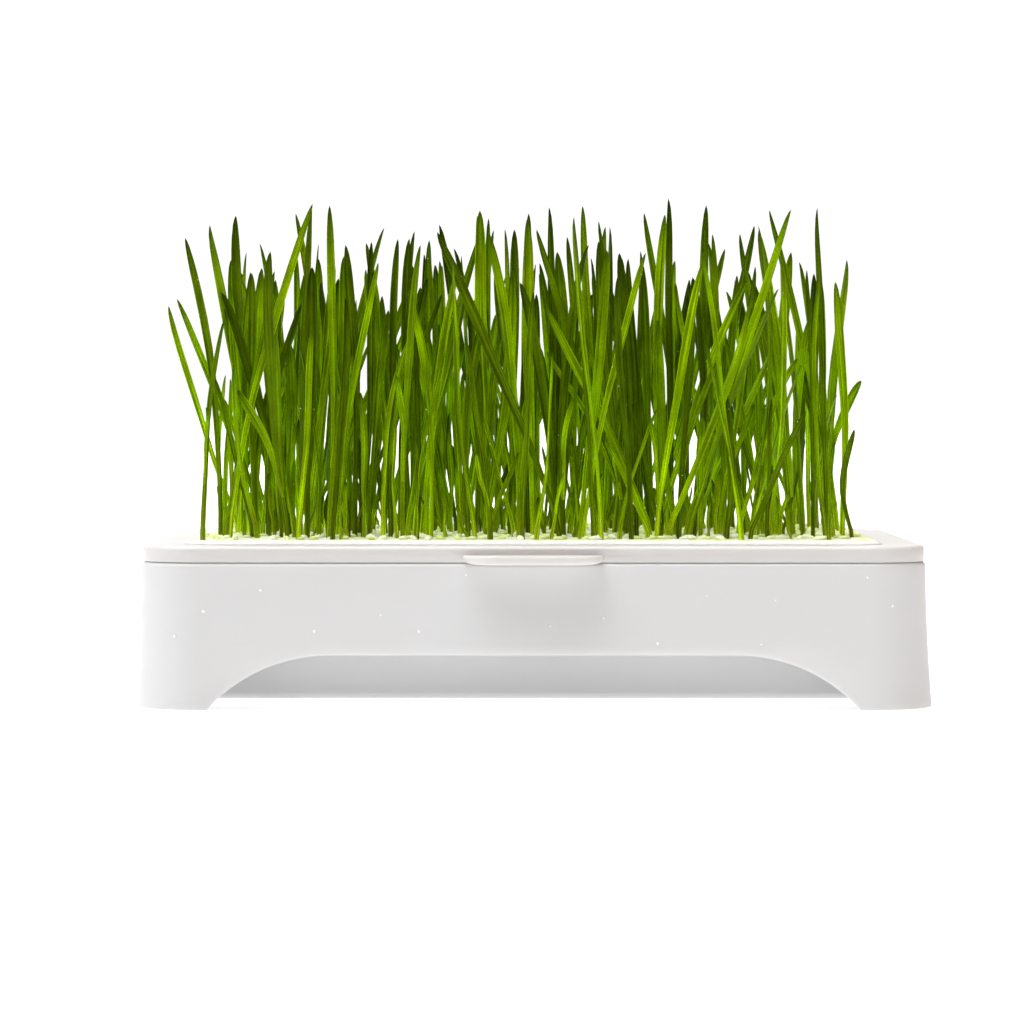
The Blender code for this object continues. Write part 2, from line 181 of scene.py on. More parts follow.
def loft(name, rings, close_start=False):
    """Bridge a stack of rings, and close the last one with a flat face."""
    surface = bmesh.new()
    levels = [[surface.verts.new(point) for point in ring] for ring in rings]
    count = len(levels[0])
    for lower, upper in zip(levels, levels[1:]):
        for i in range(count):
            j = (i + 1) % count
            surface.faces.new((lower[i], lower[j], upper[j], upper[i]))
    surface.faces.new(levels[-1])
    if close_start:
        surface.faces.new(levels[0][::-1])
    mesh = bpy.data.meshes.new(name)
    surface.to_mesh(mesh)
    surface.free()
    return mesh


def arc(centre, radius, start, end, steps):
    """List points along an arc, with its angles in degrees."""
    points = []
    for step in range(steps + 1):
        angle = math.radians(start + (end - start) * step / steps)
        points.append((centre[0] + radius * math.cos(angle), centre[1] + radius * math.sin(angle)))
    return points


def fillet(inset, z, radius, start, end, steps=8):
    """List (inset, z) points round a profile corner."""
    return [(inset - x, z + y) for x, y in arc((0, 0), radius, start, end, steps)]


print("one ring has", len(rounded_ring(0, CORNER, 0)), "points")

# %% [markdown]
# ## Objects and modifiers
# Each piece starts as a mesh, takes a few modifiers, and is then made plain: the
# finished mesh is read off the evaluated object, so nothing is left live when the
# piece is tied to the model.

# %% Objects and modifiers
def new_object(name, mesh, material=None):
    """Put a mesh in the scene as an object at the origin."""
    made = bpy.data.objects.new(name, mesh)
    bpy.context.scene.collection.objects.link(made)
    if material:
        mesh.materials.clear()
        mesh.materials.append(material)
    return made


def add_modifier(piece, kind, **settings):
    """Add one modifier with its settings."""
    modifier = piece.modifiers.new(kind.title(), kind)
    for name, value in settings.items():
        setattr(modifier, name, value)
    return modifier


def make_plain(piece):
    """Apply all that is live on a piece to its mesh."""
    bpy.context.view_layer.update()
    depsgraph = bpy.context.evaluated_depsgraph_get()
    mesh = bpy.data.meshes.new_from_object(piece.evaluated_get(depsgraph))
    piece.modifiers.clear()
    piece.data = mesh
    return mesh


def plate(name, outline, thickness, matrix):
    """Extrude a flat outline of (x, y) points on both sides of its plane."""
    flat = bmesh.new()
    half = thickness / 2
    low = [flat.verts.new(Vector((x, y, -half)) * MM) for x, y in outline]
    high = [flat.verts.new(Vector((x, y, half)) * MM) for x, y in outline]
    flat.faces.new(low[::-1])
    flat.faces.new(high)
    for i in range(len(outline)):
        j = (i + 1) % len(outline)
        flat.faces.new((low[i], low[j], high[j], high[i]))
    bmesh.ops.recalc_face_normals(flat, faces=flat.faces)
    mesh = bpy.data.meshes.new(name)
    flat.to_mesh(mesh)
    flat.free()
    mesh.transform(matrix)
    return new_object(name, mesh)


def finish_piece(piece, node_slot, *nodes):
    """Tie a finished piece to the model and hide the nodes it stands for; node_slot is not used."""
    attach(piece, "root")
    if nodes:
        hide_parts(*nodes)
    print(piece.name, "has", len(piece.data.polygons), "faces")


# %% [markdown]
# ## The water tray
# The lower tray stands on its skirt, which flares a few millimetres towards the foot
# so that trays stack and the moulding leaves its mould. The rim rolls over a small
# fillet, runs level, and drops into the basin. A long low arch in each long side
# lets fingers under it. The skirt, rim, wall and floor are one wall of even
# thickness, so they are one lofted surface; the ground line and the arches are cut
# through it afterwards, as the moulding's shut-off faces would.

# %% The water tray's profile
WATER_RIM = 63.0
WATER_WALL = 2.0
RIM_FILLET = 2.2
SKIRT_FLARE = 2.9
BASIN_TOP_INSET = 12.5
BASIN_FOOT_INSET = 22.0
BASIN_FLOOR = 5.2
BASIN_CORNER = 15.0
BASIN_FILLET = 1.6
ARCH_HEIGHT = 23.5
ARCH_FLAT_HALF = 87.0
ARCH_RADIUS = 71.5
ARCH_CUT = (112.0, 140.0)


def flare(z):
    """Say how far the skirt stands out from the rim at a height."""
    return SKIRT_FLARE * (1 - max(z, 0.0) / WATER_RIM) ** 1.6


def water_tray_rings():
    """List the rings from the foot of the skirt, over the rim, to the basin floor."""
    rings = []
    for z in (-4, 0, 4, 8, 12, 17, 22, 28, 34, 40, 46, 52, 57):
        rings.append(rounded_ring(-flare(z), CORNER + flare(z), z))
    for inset, z in fillet(RIM_FILLET, WATER_RIM - RIM_FILLET, RIM_FILLET, 0, 90):
        rings.append(rounded_ring(inset, CORNER - inset, z))
    for inset, z in fillet(BASIN_TOP_INSET, WATER_RIM - RIM_FILLET, RIM_FILLET, 90, 180):
        rings.append(rounded_ring(inset, BASIN_CORNER, z))
    foot = BASIN_FOOT_INSET
    for inset, z in fillet(foot + BASIN_FILLET, BASIN_FLOOR + BASIN_FILLET, BASIN_FILLET, 360, 270):
        rings.append(rounded_ring(inset, BASIN_CORNER - (inset - foot), z))
    return rings


def arch_outline():
    """List the outline of a finger arch in (x, z), from just below the ground."""
    centre_z = ARCH_HEIGHT - ARCH_RADIUS
    low = math.degrees(math.asin((-5.0 - centre_z) / ARCH_RADIUS))
    right = arc((ARCH_FLAT_HALF, centre_z), ARCH_RADIUS, low, 90, 24)
    return right + arc((-ARCH_FLAT_HALF, centre_z), ARCH_RADIUS, 90, 180 - low, 24)


print("the foot stands out", flare(0), "mm, and the middle", round(flare(31), 2), "mm")

# %% Cut and round the water tray
def cut_away(piece, cutters):
    """Cut each of these shapes out of a piece, then drop them."""
    for cutter in cutters:
        add_modifier(piece, "BOOLEAN", operation="DIFFERENCE", solver="EXACT", object=cutter)
    make_plain(piece)
    for cutter in cutters:
        bpy.data.objects.remove(cutter, do_unlink=True)


def soften_edges(piece, width):
    """Round the sharp edges a little, as no moulding has a knife edge."""
    add_modifier(
        piece, "BEVEL", width=width * MM, segments=2, limit_method="ANGLE", angle_limit=math.radians(50)
    )
    make_plain(piece)
    piece.data.shade_smooth()
    piece.data.set_sharp_from_angle(angle=math.radians(38))


water_shell = new_object("water_tray_shell", loft("water_tray_shell", water_tray_rings()), water_plastic)
add_modifier(water_shell, "SOLIDIFY", thickness=WATER_WALL * MM, offset=-1.0, use_even_offset=True)
big = ((-200, -160), (200, -160), (200, 160), (-200, 160))
cutters = [plate("ground", big, 20.0, Matrix.Translation((0, 0, -10 * MM)))]
upright = Matrix.Rotation(math.radians(90), 4, "X")
for side in (-1, 1):
    there = Matrix.Translation((0, side * sum(ARCH_CUT) / 2 * MM, 0))
    cutters.append(plate("arch", arch_outline(), ARCH_CUT[1] - ARCH_CUT[0], there @ upright))
cut_away(water_shell, cutters)
soften_edges(water_shell, 0.35)
finish_piece(water_shell, "water_tray_plastic", "water_tray")

# %% [markdown]
# ## The grow tray
# The upper tray is a shallow basin that hangs by its flange. Its rim turns down into
# a short skirt that stops a hair above the water tray, which is the dark line all
# round. The middle of each long side carries a flat finger tab whose underside
# rounds up to its edge, and the floor is pierced by slots for the roots to reach the
# water. The tab is a loft of its own, joined on with a Boolean as one moulding.

# %% The grow tray
GROW_RIM = 70.0
GROW_INSET = 0.6
GROW_SKIRT_FOOT = 63.1
GROW_WALL = 1.6
GROW_FILLET = 1.8
FLANGE_INSET = 18.5
GROW_FOOT_INSET = 21.5
GROW_FLOOR = 54.5
GROW_CORNER = 14.0
TAB_WIDTH = 60.0
TAB_REACH = 17.0
TAB_CORNER = 12.0
TAB_TOP = 66.2
TAB_EDGE = 0.7
TAB_SHOULDER = 65.2
TAB_FOOT = 62.6
TAB_UNDERCUT = 5.0
TAB_LEAN = 0.2
TAB_STEPS = 10
TAB_ROOT = 1.4
TAB_CLEARANCE = 0.6


def grow_tray_rings():
    """List the rings from the skirt's lower edge, over the flange, to the floor."""
    rings = [rounded_ring(GROW_INSET, CORNER - GROW_INSET, GROW_SKIRT_FOOT)]
    for inset, z in fillet(GROW_INSET + GROW_FILLET, GROW_RIM - GROW_FILLET, GROW_FILLET, 0, 90):
        rings.append(rounded_ring(inset, CORNER - inset, z))
    for inset, z in fillet(FLANGE_INSET, GROW_RIM - GROW_FILLET, GROW_FILLET, 90, 170):
        rings.append(rounded_ring(inset, GROW_CORNER, z))
    foot = GROW_FOOT_INSET
    for inset, z in fillet(foot + 3.0, GROW_FLOOR + 3.0, 3.0, 360, 270):
        rings.append(rounded_ring(inset, GROW_CORNER - (inset - foot), z))
    return rings


def tab_ring(inset, z):
    """List a finger tab's points at one height, drawn in at its ends and less at its front."""
    half = TAB_WIDTH / 2 - TAB_CORNER
    end = -(DEPTH / 2 + TAB_REACH) + TAB_CORNER
    root = -DEPTH / 2 + (TAB_ROOT if z > TAB_SHOULDER - TAB_ROOT else -TAB_CLEARANCE)
    plan = [(TAB_WIDTH / 2 - inset, root), (-TAB_WIDTH / 2 + inset, root)]
    corners = arc((-half, end), TAB_CORNER - inset, 180, 270, 16)
    corners += arc((half, end), TAB_CORNER - inset, 270, 360, 16)
    reach = (TAB_CORNER - TAB_LEAN * inset) / (TAB_CORNER - inset)
    plan += [(x, end - (end - y) * reach) for x, y in corners]
    return [Vector((x, y, z)) * MM for x, y in plan]


def tab_rings():
    """List a tab's rings: an underside that rounds up to its edge, and a flat top."""
    rings = []
    for step in range(TAB_STEPS + 1):
        angle = math.radians(90 * (1 - step / TAB_STEPS))
        inset = TAB_UNDERCUT * (1 - math.cos(angle))
        rings.append(tab_ring(inset, TAB_SHOULDER - (TAB_SHOULDER - TAB_FOOT) * math.sin(angle)))
    for step in range(4):
        angle = math.radians(30 * step)
        rings.append(tab_ring(TAB_EDGE * (1 - math.cos(angle)), TAB_TOP - TAB_EDGE * (1 - math.sin(angle))))
    return rings


grow_shell = new_object("grow_tray_shell", loft("grow_tray_shell", grow_tray_rings()), grow_plastic)
add_modifier(grow_shell, "SOLIDIFY", thickness=GROW_WALL * MM, offset=-1.0, use_even_offset=True)
for turn in (0, 180):
    tab = new_object("tab", loft("tab", tab_rings(), close_start=True))
    tab.data.transform(Matrix.Rotation(math.radians(turn), 4, "Z"))
    add_modifier(grow_shell, "BOOLEAN", operation="UNION", solver="EXACT", object=tab)
    make_plain(grow_shell)
    bpy.data.objects.remove(tab, do_unlink=True)
print("flange at", GROW_RIM, "mm, gap of", round(GROW_SKIRT_FOOT - WATER_RIM, 1), "mm under its skirt")

# %% Drain slots
SLOT_LENGTH = 24.0
SLOT_WIDTH = 3.0
SLOT_PITCH = (34.0, 38.0)
SLOT_COUNT = (8, 5)


def slot_outline(shift_x, shift_y):
    """List the plan of one drain slot, a bar with round ends."""
    radius = SLOT_WIDTH / 2
    half = SLOT_LENGTH / 2 - radius
    bar = arc((half, 0), radius, -90, 90, 6) + arc((-half, 0), radius, 90, 270, 6)
    return [(x + shift_x, y + shift_y) for x, y in bar]


slots = []
below = Matrix.Translation((0, 0, (GROW_FLOOR - GROW_WALL / 2) * MM))
for column in range(SLOT_COUNT[0]):
    for row in range(SLOT_COUNT[1]):
        shift_x = (column - (SLOT_COUNT[0] - 1) / 2) * SLOT_PITCH[0]
        shift_y = (row - (SLOT_COUNT[1] - 1) / 2) * SLOT_PITCH[1]
        slots.append(plate("slot", slot_outline(shift_x, shift_y), 3 * GROW_WALL, below))
joined = bmesh.new()
for slot in slots:
    joined.from_mesh(slot.data)
for slot in slots[1:]:
    bpy.data.objects.remove(slot, do_unlink=True)
joined.to_mesh(slots[0].data)
joined.free()
cut_away(grow_shell, slots[:1])
soften_edges(grow_shell, 0.5)
finish_piece(grow_shell, "grow_tray_plastic", "grow_tray")

# %% [markdown]
# ## Where each shoot stands
# Seed sown by hand lies at random, and each shoot leans and bends in its own way, but
# no two shoots pass through each other. So a few leading shoots, the ones that make
# the skyline, are given in a list, and the rest are drawn one by one and kept only if
# they stand clear of all before them. It is the same rule, with the same seed, that
# placed the solids, so each fine blade rises where its solid does.

# %% The leading shoots and the shape of a blade
BED_TOP = 72.0
SHOOT_COUNT = 272
SHOOT_SEED = 7
BED_HALF = (146.0, 100.0)
ROOT_SINK = 8.0
SHEATH_WIDTH = 2.9
CLEARANCE = 0.5
RING_PLACES = (0.0, 0.15, 0.42, 0.72, 0.90, 1.0)

# Base x and y, the x of the middle, the x and z of the tip, and the width, in mm
LEADING_SHOOTS = (
    (-144, -97, -141, -134, 168, 3.0), (-131, -40, -149, -164, 175, 3.1), (-126, -10, -142, -163, 179, 3.2),
    (-138, -75, -141, -153, 204, 3.5), (-126, 20, -136, -150, 214, 5.6), (-136, 60, -138, -136, 203, 2.9),
    (-124, -60, -125, -125, 189, 4.0), (-133, -92, -119, -96, 218, 3.5), (-109, 30, -117, -128, 206, 3.7),
    (-113, 80, -113, -114, 204, 3.4), (-99, -85, -98, -97, 191, 5.7), (-96, -50, -94, -89, 194, 4.0),
    (-83, -20, -85, -86, 198, 4.5), (-71, 50, -71, -79, 207, 3.8), (-86, -80, -80, -68, 193, 3.1),
    (-63, -65, -63, -60, 204, 3.5), (-56, 0, -59, -57, 207, 4.1), (-57, -95, -55, -49, 200, 3.5),
    (-51, 40, -51, -49, 208, 3.8), (13, -88, -12, -42, 206, 4.8), (-47, -72, -44, -34, 191, 4.0),
    (-24, 10, -25, -26, 218, 3.7), (-27, 70, -25, -19, 214, 2.9), (-10, -30, -11, -13, 210, 2.7),
    (0, -55, -2, -3, 213, 5.3), (10, -10, 8, 7, 221, 4.1), (19, 30, 16, 11, 202, 5.6),
    (25, 75, 21, 16, 211, 3.4), (29, -35, 25, 22, 220, 3.6), (33, 55, 32, 34, 215, 3.8),
    (53, -76, 31, 5, 175, 4.0), (46, -60, 43, 38, 198, 4.9), (74, 45, 64, 52, 221, 3.3),
    (63, -25, 61, 61, 224, 4.1), (53, -94, 62, 74, 193, 3.9), (83, 20, 79, 80, 223, 4.2),
    (86, -45, 83, 80, 207, 3.1), (115, 60, 108, 98, 212, 3.8), (116, -55, 110, 100, 208, 4.5),
    (139, 0, 127, 108, 220, 3.7), (123, -75, 123, 120, 190, 2.6), (133, 35, 131, 131, 192, 4.2),
    (133, -30, 134, 141, 196, 5.4), (140, -88, 135, 140, 120, 3.1), (93, -97, 105, 118, 128, 3.0),
)


def blade_widths(width):
    """Give a blade's width at each of its rings, from the sheath to the tip."""
    return (min(SHEATH_WIDTH, width), min(2.7, width), 0.8 * width + 0.2, width, 0.86 * width, 0.0)


def bend(places, base, middle, tip):
    """Give points on the curve through three points."""
    handle = 2 * middle - (base + tip) / 2
    return [(1 - t) ** 2 * base + 2 * t * (1 - t) * handle + t * t * tip for t in places]


def trace(path, widths):
    """Sample a blade's centre line and its half width along it."""
    places = np.linspace(0.0, 1.0, 56)
    line = np.stack([np.interp(places, RING_PLACES, [p[axis] for p in path]) for axis in range(3)], 1)
    return line, np.interp(places, RING_PLACES, widths) / 2


def stands_clear(traced, placed):
    """Say whether a traced blade keeps clear of all that are placed."""
    line, reach = traced
    low, high = line.min(0) - 4.0, line.max(0) + 4.0
    for other_line, other_reach in placed:
        if (low > other_line.max(0)).any() or (high < other_line.min(0)).any():
            continue
        apart = np.linalg.norm(line[:, None] - other_line[None], axis=2)
        if (apart - reach[:, None] - other_reach[None]).min() < CLEARANCE:
            return False
    return True


print(len(LEADING_SHOOTS), "leading shoots")

# %% Draw every shoot
def leading_shoot(draw, row, attempt):
    """Give one listed shoot, moved a little in depth if it was in the way."""
    x, y, middle_x, tip_x, tip_z, width = row
    if attempt:
        y = min(BED_HALF[1], max(-BED_HALF[1], y + draw.uniform(-9, 9)))
    tip_y = y + draw.uniform(-3, 3)
    base = Vector((x, y, BED_TOP))
    middle = Vector((middle_x, y, (BED_TOP + tip_z) / 2))
    return (base, middle, Vector((tip_x, tip_y, tip_z))), width, draw.uniform(-25, 25)


def filling_shoot(draw):
    """Draw one of the many shoots between: mostly tall and upright, some short."""
    x = draw.uniform(-BED_HALF[0], BED_HALF[0] - 6)
    y = draw.uniform(-BED_HALF[1], BED_HALF[1])
    if draw.random() < 0.2:
        height = draw.uniform(50, 110)
    else:
        height = min(146, max(85, draw.gauss(118, 15)))
    if draw.random() < 0.1:
        lean = math.radians(draw.uniform(14, 26) * draw.choice((-1, 1)))
    else:
        lean = math.radians(draw.gauss(0, 6))
    tip_x = x + height * math.tan(lean) - 3.0 * x / BED_HALF[0]
    tip_y = y + height * math.tan(math.radians(draw.gauss(0, 5)))
    bow = Vector((draw.gauss(0, 2.2), draw.gauss(0, 1.5), 0))
    width = draw.uniform(3.0, 5.4) * (0.75 + 0.25 * height / 118)
    base = Vector((x, y, BED_TOP))
    tip = Vector((tip_x, tip_y, BED_TOP + height))
    return (base, (base + tip) / 2 + bow, tip), width, draw.gauss(0, 38)


def lay_out_shoots():
    """Place the leading shoots, then fill the bed with others that stand clear."""
    draw = random.Random(SHOOT_SEED)
    placed, shoots = [], []
    for row in LEADING_SHOOTS:
        for attempt in range(30):
            points, width, yaw = leading_shoot(draw, row, attempt)
            traced = trace(bend(RING_PLACES, *points), blade_widths(width))
            if stands_clear(traced, placed):
                placed.append(traced)
                shoots.append((points, width, yaw))
                break
    while len(shoots) < SHOOT_COUNT:
        points, width, yaw = filling_shoot(draw)
        tip = points[2]
        traced = trace(bend(RING_PLACES, *points), blade_widths(width))
        if -148 < tip.x < 139 and abs(tip.y) < 116 and stands_clear(traced, placed):
            placed.append(traced)
            shoots.append((points, width, yaw))
    return shoots, placed


shoots, placed = lay_out_shoots()
print(len(shoots), "shoots, the tallest to", round(max(s[0][2].z for s in shoots), 1), "mm")

# %% [markdown]
# ## Second leaves
# A wheat shoot is leaves rolled inside each other. Low down all of them are one
# sheath, and partway up a leaf parts from it and leans away on its own. Only some
# shoots are old enough to show a second leaf, so a third of them get one: it starts
# on its parent's curve, sets out in the same direction, and then bends aside.

# %% Second leaves
SECOND_SHARE = 0.36
WRAP = 1.9


def second_leaf(draw, points, width):
    """Give a leaf that parts from a shoot, as its own three points and width."""
    start = draw.uniform(0.06, 0.24)
    reach = draw.uniform(0.34, 0.56)
    base, ahead, top = bend((start, start + reach / 2, start + reach), *points)
    turn = draw.uniform(0, 2 * math.pi)
    aside = Vector((math.cos(turn), 0.6 * math.sin(turn), 0)) * draw.uniform(7, 17)
    return (base, ahead + aside * 0.28, top + aside), width * draw.uniform(0.62, 0.88)


draw = random.Random(SHOOT_SEED + 1)
second_leaves = []
for index, (points, width, yaw) in enumerate(shoots):
    if draw.random() > SECOND_SHARE or points[2].z < 160:
        continue
    for attempt in range(6):
        leaf, narrow = second_leaf(draw, points, width)
        traced = trace(bend(RING_PLACES, *leaf), blade_widths(narrow))
        if stands_clear(traced, placed[:index] + placed[index + 1:]):
            second_leaves.append((leaf, narrow, draw.gauss(0, 40)))
            placed.append(traced)
            break
print(len(second_leaves), "second leaves")

# %% [markdown]
# ## Late shoots
# Not every grain starts on the same day. Between the tall shoots stand younger ones,
# from a pale spike that has just left its grain to a thin leaf of half the height.
# They fill the lower half of the stand, where the photo shows more stems than blades.

# %% Late shoots
LATE_COUNT = 200


def late_shoot(draw):
    """Draw a thin young shoot, short ones most often."""
    x = draw.uniform(-BED_HALF[0] + 2, BED_HALF[0] - 8)
    y = draw.uniform(-BED_HALF[1], BED_HALF[1])
    height = 10 + 85 * draw.random() ** 1.5
    lean = math.radians(draw.gauss(0, 11))
    tip = Vector((x + height * math.tan(lean), y + draw.gauss(0, 0.1) * height, BED_TOP + height))
    base = Vector((x, y, BED_TOP))
    bow = Vector((draw.gauss(0, 0.03), draw.gauss(0, 0.03), 0)) * height
    return (base, (base + tip) / 2 + bow, tip), draw.uniform(1.5, 2.3) + 0.008 * height, draw.gauss(0, 50)


draw = random.Random(SHOOT_SEED + 4)
young = []
while len(young) < LATE_COUNT:
    points, width, yaw = late_shoot(draw)
    traced = trace(bend(RING_PLACES, *points), [width] * 5 + [0.0])
    if -146 < points[2].x < 139 and stands_clear(traced, placed):
        young.append((points, width, yaw))
        placed.append(traced)
print(len(young), "late shoots")

# %% [markdown]
# ## Guides for the blades
# Geometry Nodes will grow a blade along each guide. A guide is a thin line of
# points, and every point carries what its blade needs to know: how wide the blade
# is, how wide its foot, which way its face looks, and a random shade. The face turns
# a little on the way up, because grass leaves twist as they grow.

# %% Guides for the blades
GUIDE_PLACES = (0.0, 0.08, 0.16, 0.24, 0.33, 0.43, 0.53, 0.63, 0.73, 0.82, 0.89, 0.93, 0.97, 0.99, 1.0)
WANDER = 0.5


def guide_mesh(name, blades, seed):
    """Make one mesh of lines, a line for each (points, width, yaw, foot, sink)."""
    draw = random.Random(seed)
    points, edges = [], []
    facts = {"width": [], "foot": [], "tone": [], "age": [], "face": []}
    for (base, middle, tip), width, yaw, foot, sink in blades:
        line = bend(GUIDE_PLACES, base, middle, tip)
        line[0] = line[0] - Vector((0, 0, sink))
        twist = draw.gauss(0, 30)
        tone, age = draw.random(), draw.random()
        swings = [draw.uniform(0, 2 * math.pi) for _ in range(2)]
        for i, (place, point) in enumerate(zip(GUIDE_PLACES, line)):
            if i:
                edges.append((len(points) - 1, len(points)))
            angle = math.radians(yaw + twist * place)
            free = WANDER * math.sin(math.pi * place)
            point += Vector((math.sin(7 * place + swings[0]), math.sin(6 * place + swings[1]), 0)) * free
            points.append(point * MM)
            facts["width"].append(width * MM)
            facts["foot"].append(foot * MM)
            facts["tone"].append(tone)
            facts["age"].append(age)
            facts["face"].extend((math.cos(angle), math.sin(angle), 0.0))
    mesh = bpy.data.meshes.new(name)
    mesh.from_pydata(points, edges, [])
    for key, values in facts.items():
        kind, field = ("FLOAT_VECTOR", "vector") if key == "face" else ("FLOAT", "value")
        mesh.attributes.new(key, kind, "POINT").data.foreach_set(field, values)
    return mesh


draw = random.Random(SHOOT_SEED + 3)
blades = [(points, width, yaw, min(draw.uniform(1.9, 2.7), width), ROOT_SINK) for points, width, yaw in shoots]
blades += [(points, width, yaw, min(WRAP, width), 0.0) for points, width, yaw in second_leaves]
blades += [(points, width, yaw, width, ROOT_SINK) for points, width, yaw in young]
guides = guide_mesh("wheatgrass_shoots", blades, SHOOT_SEED + 2)
print(len(guides.vertices), "guide points for", len(blades), "blades")

# %% [markdown]
# ## Growing the blades with Geometry Nodes
# Curve to Mesh would sweep one fixed outline, but a grass blade changes from a round
# sheath to a flat folded leaf and then to a point. So the tree sweeps a plain circle,
# remembers for each point how far along and how far across it lies, and then moves
# every point to where a blade has it: out along the face by the width there, and up
# or down by the thickness and the fold. Three float curves hold the blade's habit.

# %% The blade tree
BLADE_SIDES = 12


def new_tree(name, inputs):
    """Make a Geometry Nodes tree with named inputs, and give back its two ends."""
    tree = bpy.data.node_groups.new(name, "GeometryNodeTree")
    tree.interface.new_socket("Geometry", in_out="INPUT", socket_type="NodeSocketGeometry")
    for label, kind, value in inputs:
        socket = tree.interface.new_socket(label, in_out="INPUT", socket_type=kind)
        if value is not None:
            socket.default_value = value
    tree.interface.new_socket("Geometry", in_out="OUTPUT", socket_type="NodeSocketGeometry")
    return tree, add_node(tree, "NodeGroupInput"), add_node(tree, "NodeGroupOutput")


def float_curve(tree, along, stops):
    """Give the socket of a curve through (place, value) stops, read at a socket."""
    node = add_node(tree, "ShaderNodeFloatCurve", {"Value": along})
    line = node.mapping.curves[0]
    line.points[0].location = stops[0]
    line.points[1].location = stops[-1]
    for place, value in stops[1:-1]:
        line.points.new(place, value)
    for point in line.points:
        point.handle_type = "VECTOR"
    node.mapping.update()
    return node.outputs["Value"]


SPREAD = (
    (0, 0), (0.18, 0.04), (0.32, 0.38), (0.48, 0.76), (0.62, 0.95), (0.73, 1), (0.82, 0.97), (0.89, 0.88),
    (0.94, 0.72), (0.975, 0.48), (0.99, 0.28), (1, 0),
)
ROLLED = ((0, 1), (0.18, 0.9), (0.32, 0.46), (0.48, 0.08), (0.6, 0), (1, 0))
BODY = ((0, 1), (0.9, 0.8), (1, 0))
FLOAT, SIZE = "NodeSocketFloat", "NodeSocketFloat"
tree, start, end = new_tree(
    "grow_grass_blades",
    (
        ("Sides", "NodeSocketInt", BLADE_SIDES),
        ("Blade thickness", SIZE, 0.5 * MM),
        ("Sheath roundness", FLOAT, 0.8),
        ("Fold", FLOAT, 0.75),
        ("Material", "NodeSocketMaterial", None),
    ),
)
rail = add_node(tree, "GeometryNodeMeshToCurve", {0: start.outputs["Geometry"]}).outputs[0]
remembered = (
    ("along", "FLOAT", add_node(tree, "GeometryNodeSplineParameter").outputs["Factor"]),
    ("heading", "FLOAT_VECTOR", add_node(tree, "GeometryNodeInputTangent").outputs[0]),
    ("rail", "FLOAT_VECTOR", add_node(tree, "GeometryNodeInputPosition").outputs[0]),
)
for label, kind, value in remembered:
    rail = add_node(
        tree, "GeometryNodeStoreNamedAttribute", {0: rail, "Name": label, "Value": value}, data_type=kind
    ).outputs[0]
ring = add_node(tree, "GeometryNodeCurvePrimitiveCircle", {"Resolution": start.outputs["Sides"], "Radius": 1.0})
ring_place = add_node(tree, "ShaderNodeSeparateXYZ", {0: add_node(tree, "GeometryNodeInputPosition").outputs[0]})
outline = ring.outputs[0]
for label, axis in (("across", "X"), ("rise", "Y")):
    outline = add_node(
        tree, "GeometryNodeStoreNamedAttribute", {0: outline, "Name": label, "Value": ring_place.outputs[axis]}
    ).outputs[0]
swept = add_node(tree, "GeometryNodeCurveToMesh", {"Curve": rail, "Profile Curve": outline, "Fill Caps": True})
print("the blade tree has", len(tree.nodes), "nodes so far")

# %% Move every point to its place on the blade
read = {}
for label, kind in (
    ("along", "FLOAT"), ("across", "FLOAT"), ("rise", "FLOAT"), ("width", "FLOAT"), ("foot", "FLOAT"),
    ("heading", "FLOAT_VECTOR"), ("rail", "FLOAT_VECTOR"), ("face", "FLOAT_VECTOR"),
):
    read[label] = add_node(tree, "GeometryNodeInputNamedAttribute", {"Name": label}, data_type=kind).outputs[0]
spread = float_curve(tree, read["along"], SPREAD)
rolled = float_curve(tree, read["along"], ROLLED)
body = float_curve(tree, read["along"], BODY)

leaf_part = add_node(tree, "ShaderNodeMath", {0: read["width"], 1: spread}, operation="MULTIPLY").outputs[0]
wide = add_node(
    tree, "ShaderNodeMath", {0: read["foot"], 1: rolled, 2: leaf_part}, operation="MULTIPLY_ADD"
).outputs[0]
half_wide = add_node(tree, "ShaderNodeMath", {0: wide, 1: 0.5}, operation="MULTIPLY").outputs[0]
leaf_thick = add_node(
    tree, "ShaderNodeMath", {0: start.outputs["Blade thickness"], 1: body}, operation="MULTIPLY"
).outputs[0]
sheath = add_node(
    tree, "ShaderNodeMath", {0: read["foot"], 1: start.outputs["Sheath roundness"]}, operation="MULTIPLY"
).outputs[0]
thick = add_node(
    tree, "ShaderNodeMath", {0: sheath, 1: rolled, 2: leaf_thick}, operation="MULTIPLY_ADD"
).outputs[0]
half_thick = add_node(tree, "ShaderNodeMath", {0: thick, 1: 0.5}, operation="MULTIPLY").outputs[0]

flatness = add_node(tree, "ShaderNodeMath", {0: 1.0, 1: rolled}, operation="SUBTRACT", use_clamp=True).outputs[0]
from_rib = add_node(tree, "ShaderNodeMath", {0: read["across"]}, operation="ABSOLUTE").outputs[0]
folded = add_node(
    tree, "ShaderNodeMath", {0: start.outputs["Fold"], 1: flatness}, operation="MULTIPLY"
).outputs[0]
fold = add_node(tree, "ShaderNodeMath", {0: folded, 1: half_wide}, operation="MULTIPLY").outputs[0]
fold_here = add_node(tree, "ShaderNodeMath", {0: fold, 1: from_rib}, operation="MULTIPLY").outputs[0]
bulge = add_node(tree, "ShaderNodeMath", {0: read["rise"], 1: half_thick}, operation="MULTIPLY").outputs[0]
lift = add_node(tree, "ShaderNodeMath", {0: bulge, 1: fold_here}, operation="SUBTRACT").outputs[0]
reach = add_node(tree, "ShaderNodeMath", {0: read["across"], 1: half_wide}, operation="MULTIPLY").outputs[0]
print("the blade tree has", len(tree.nodes), "nodes so far")

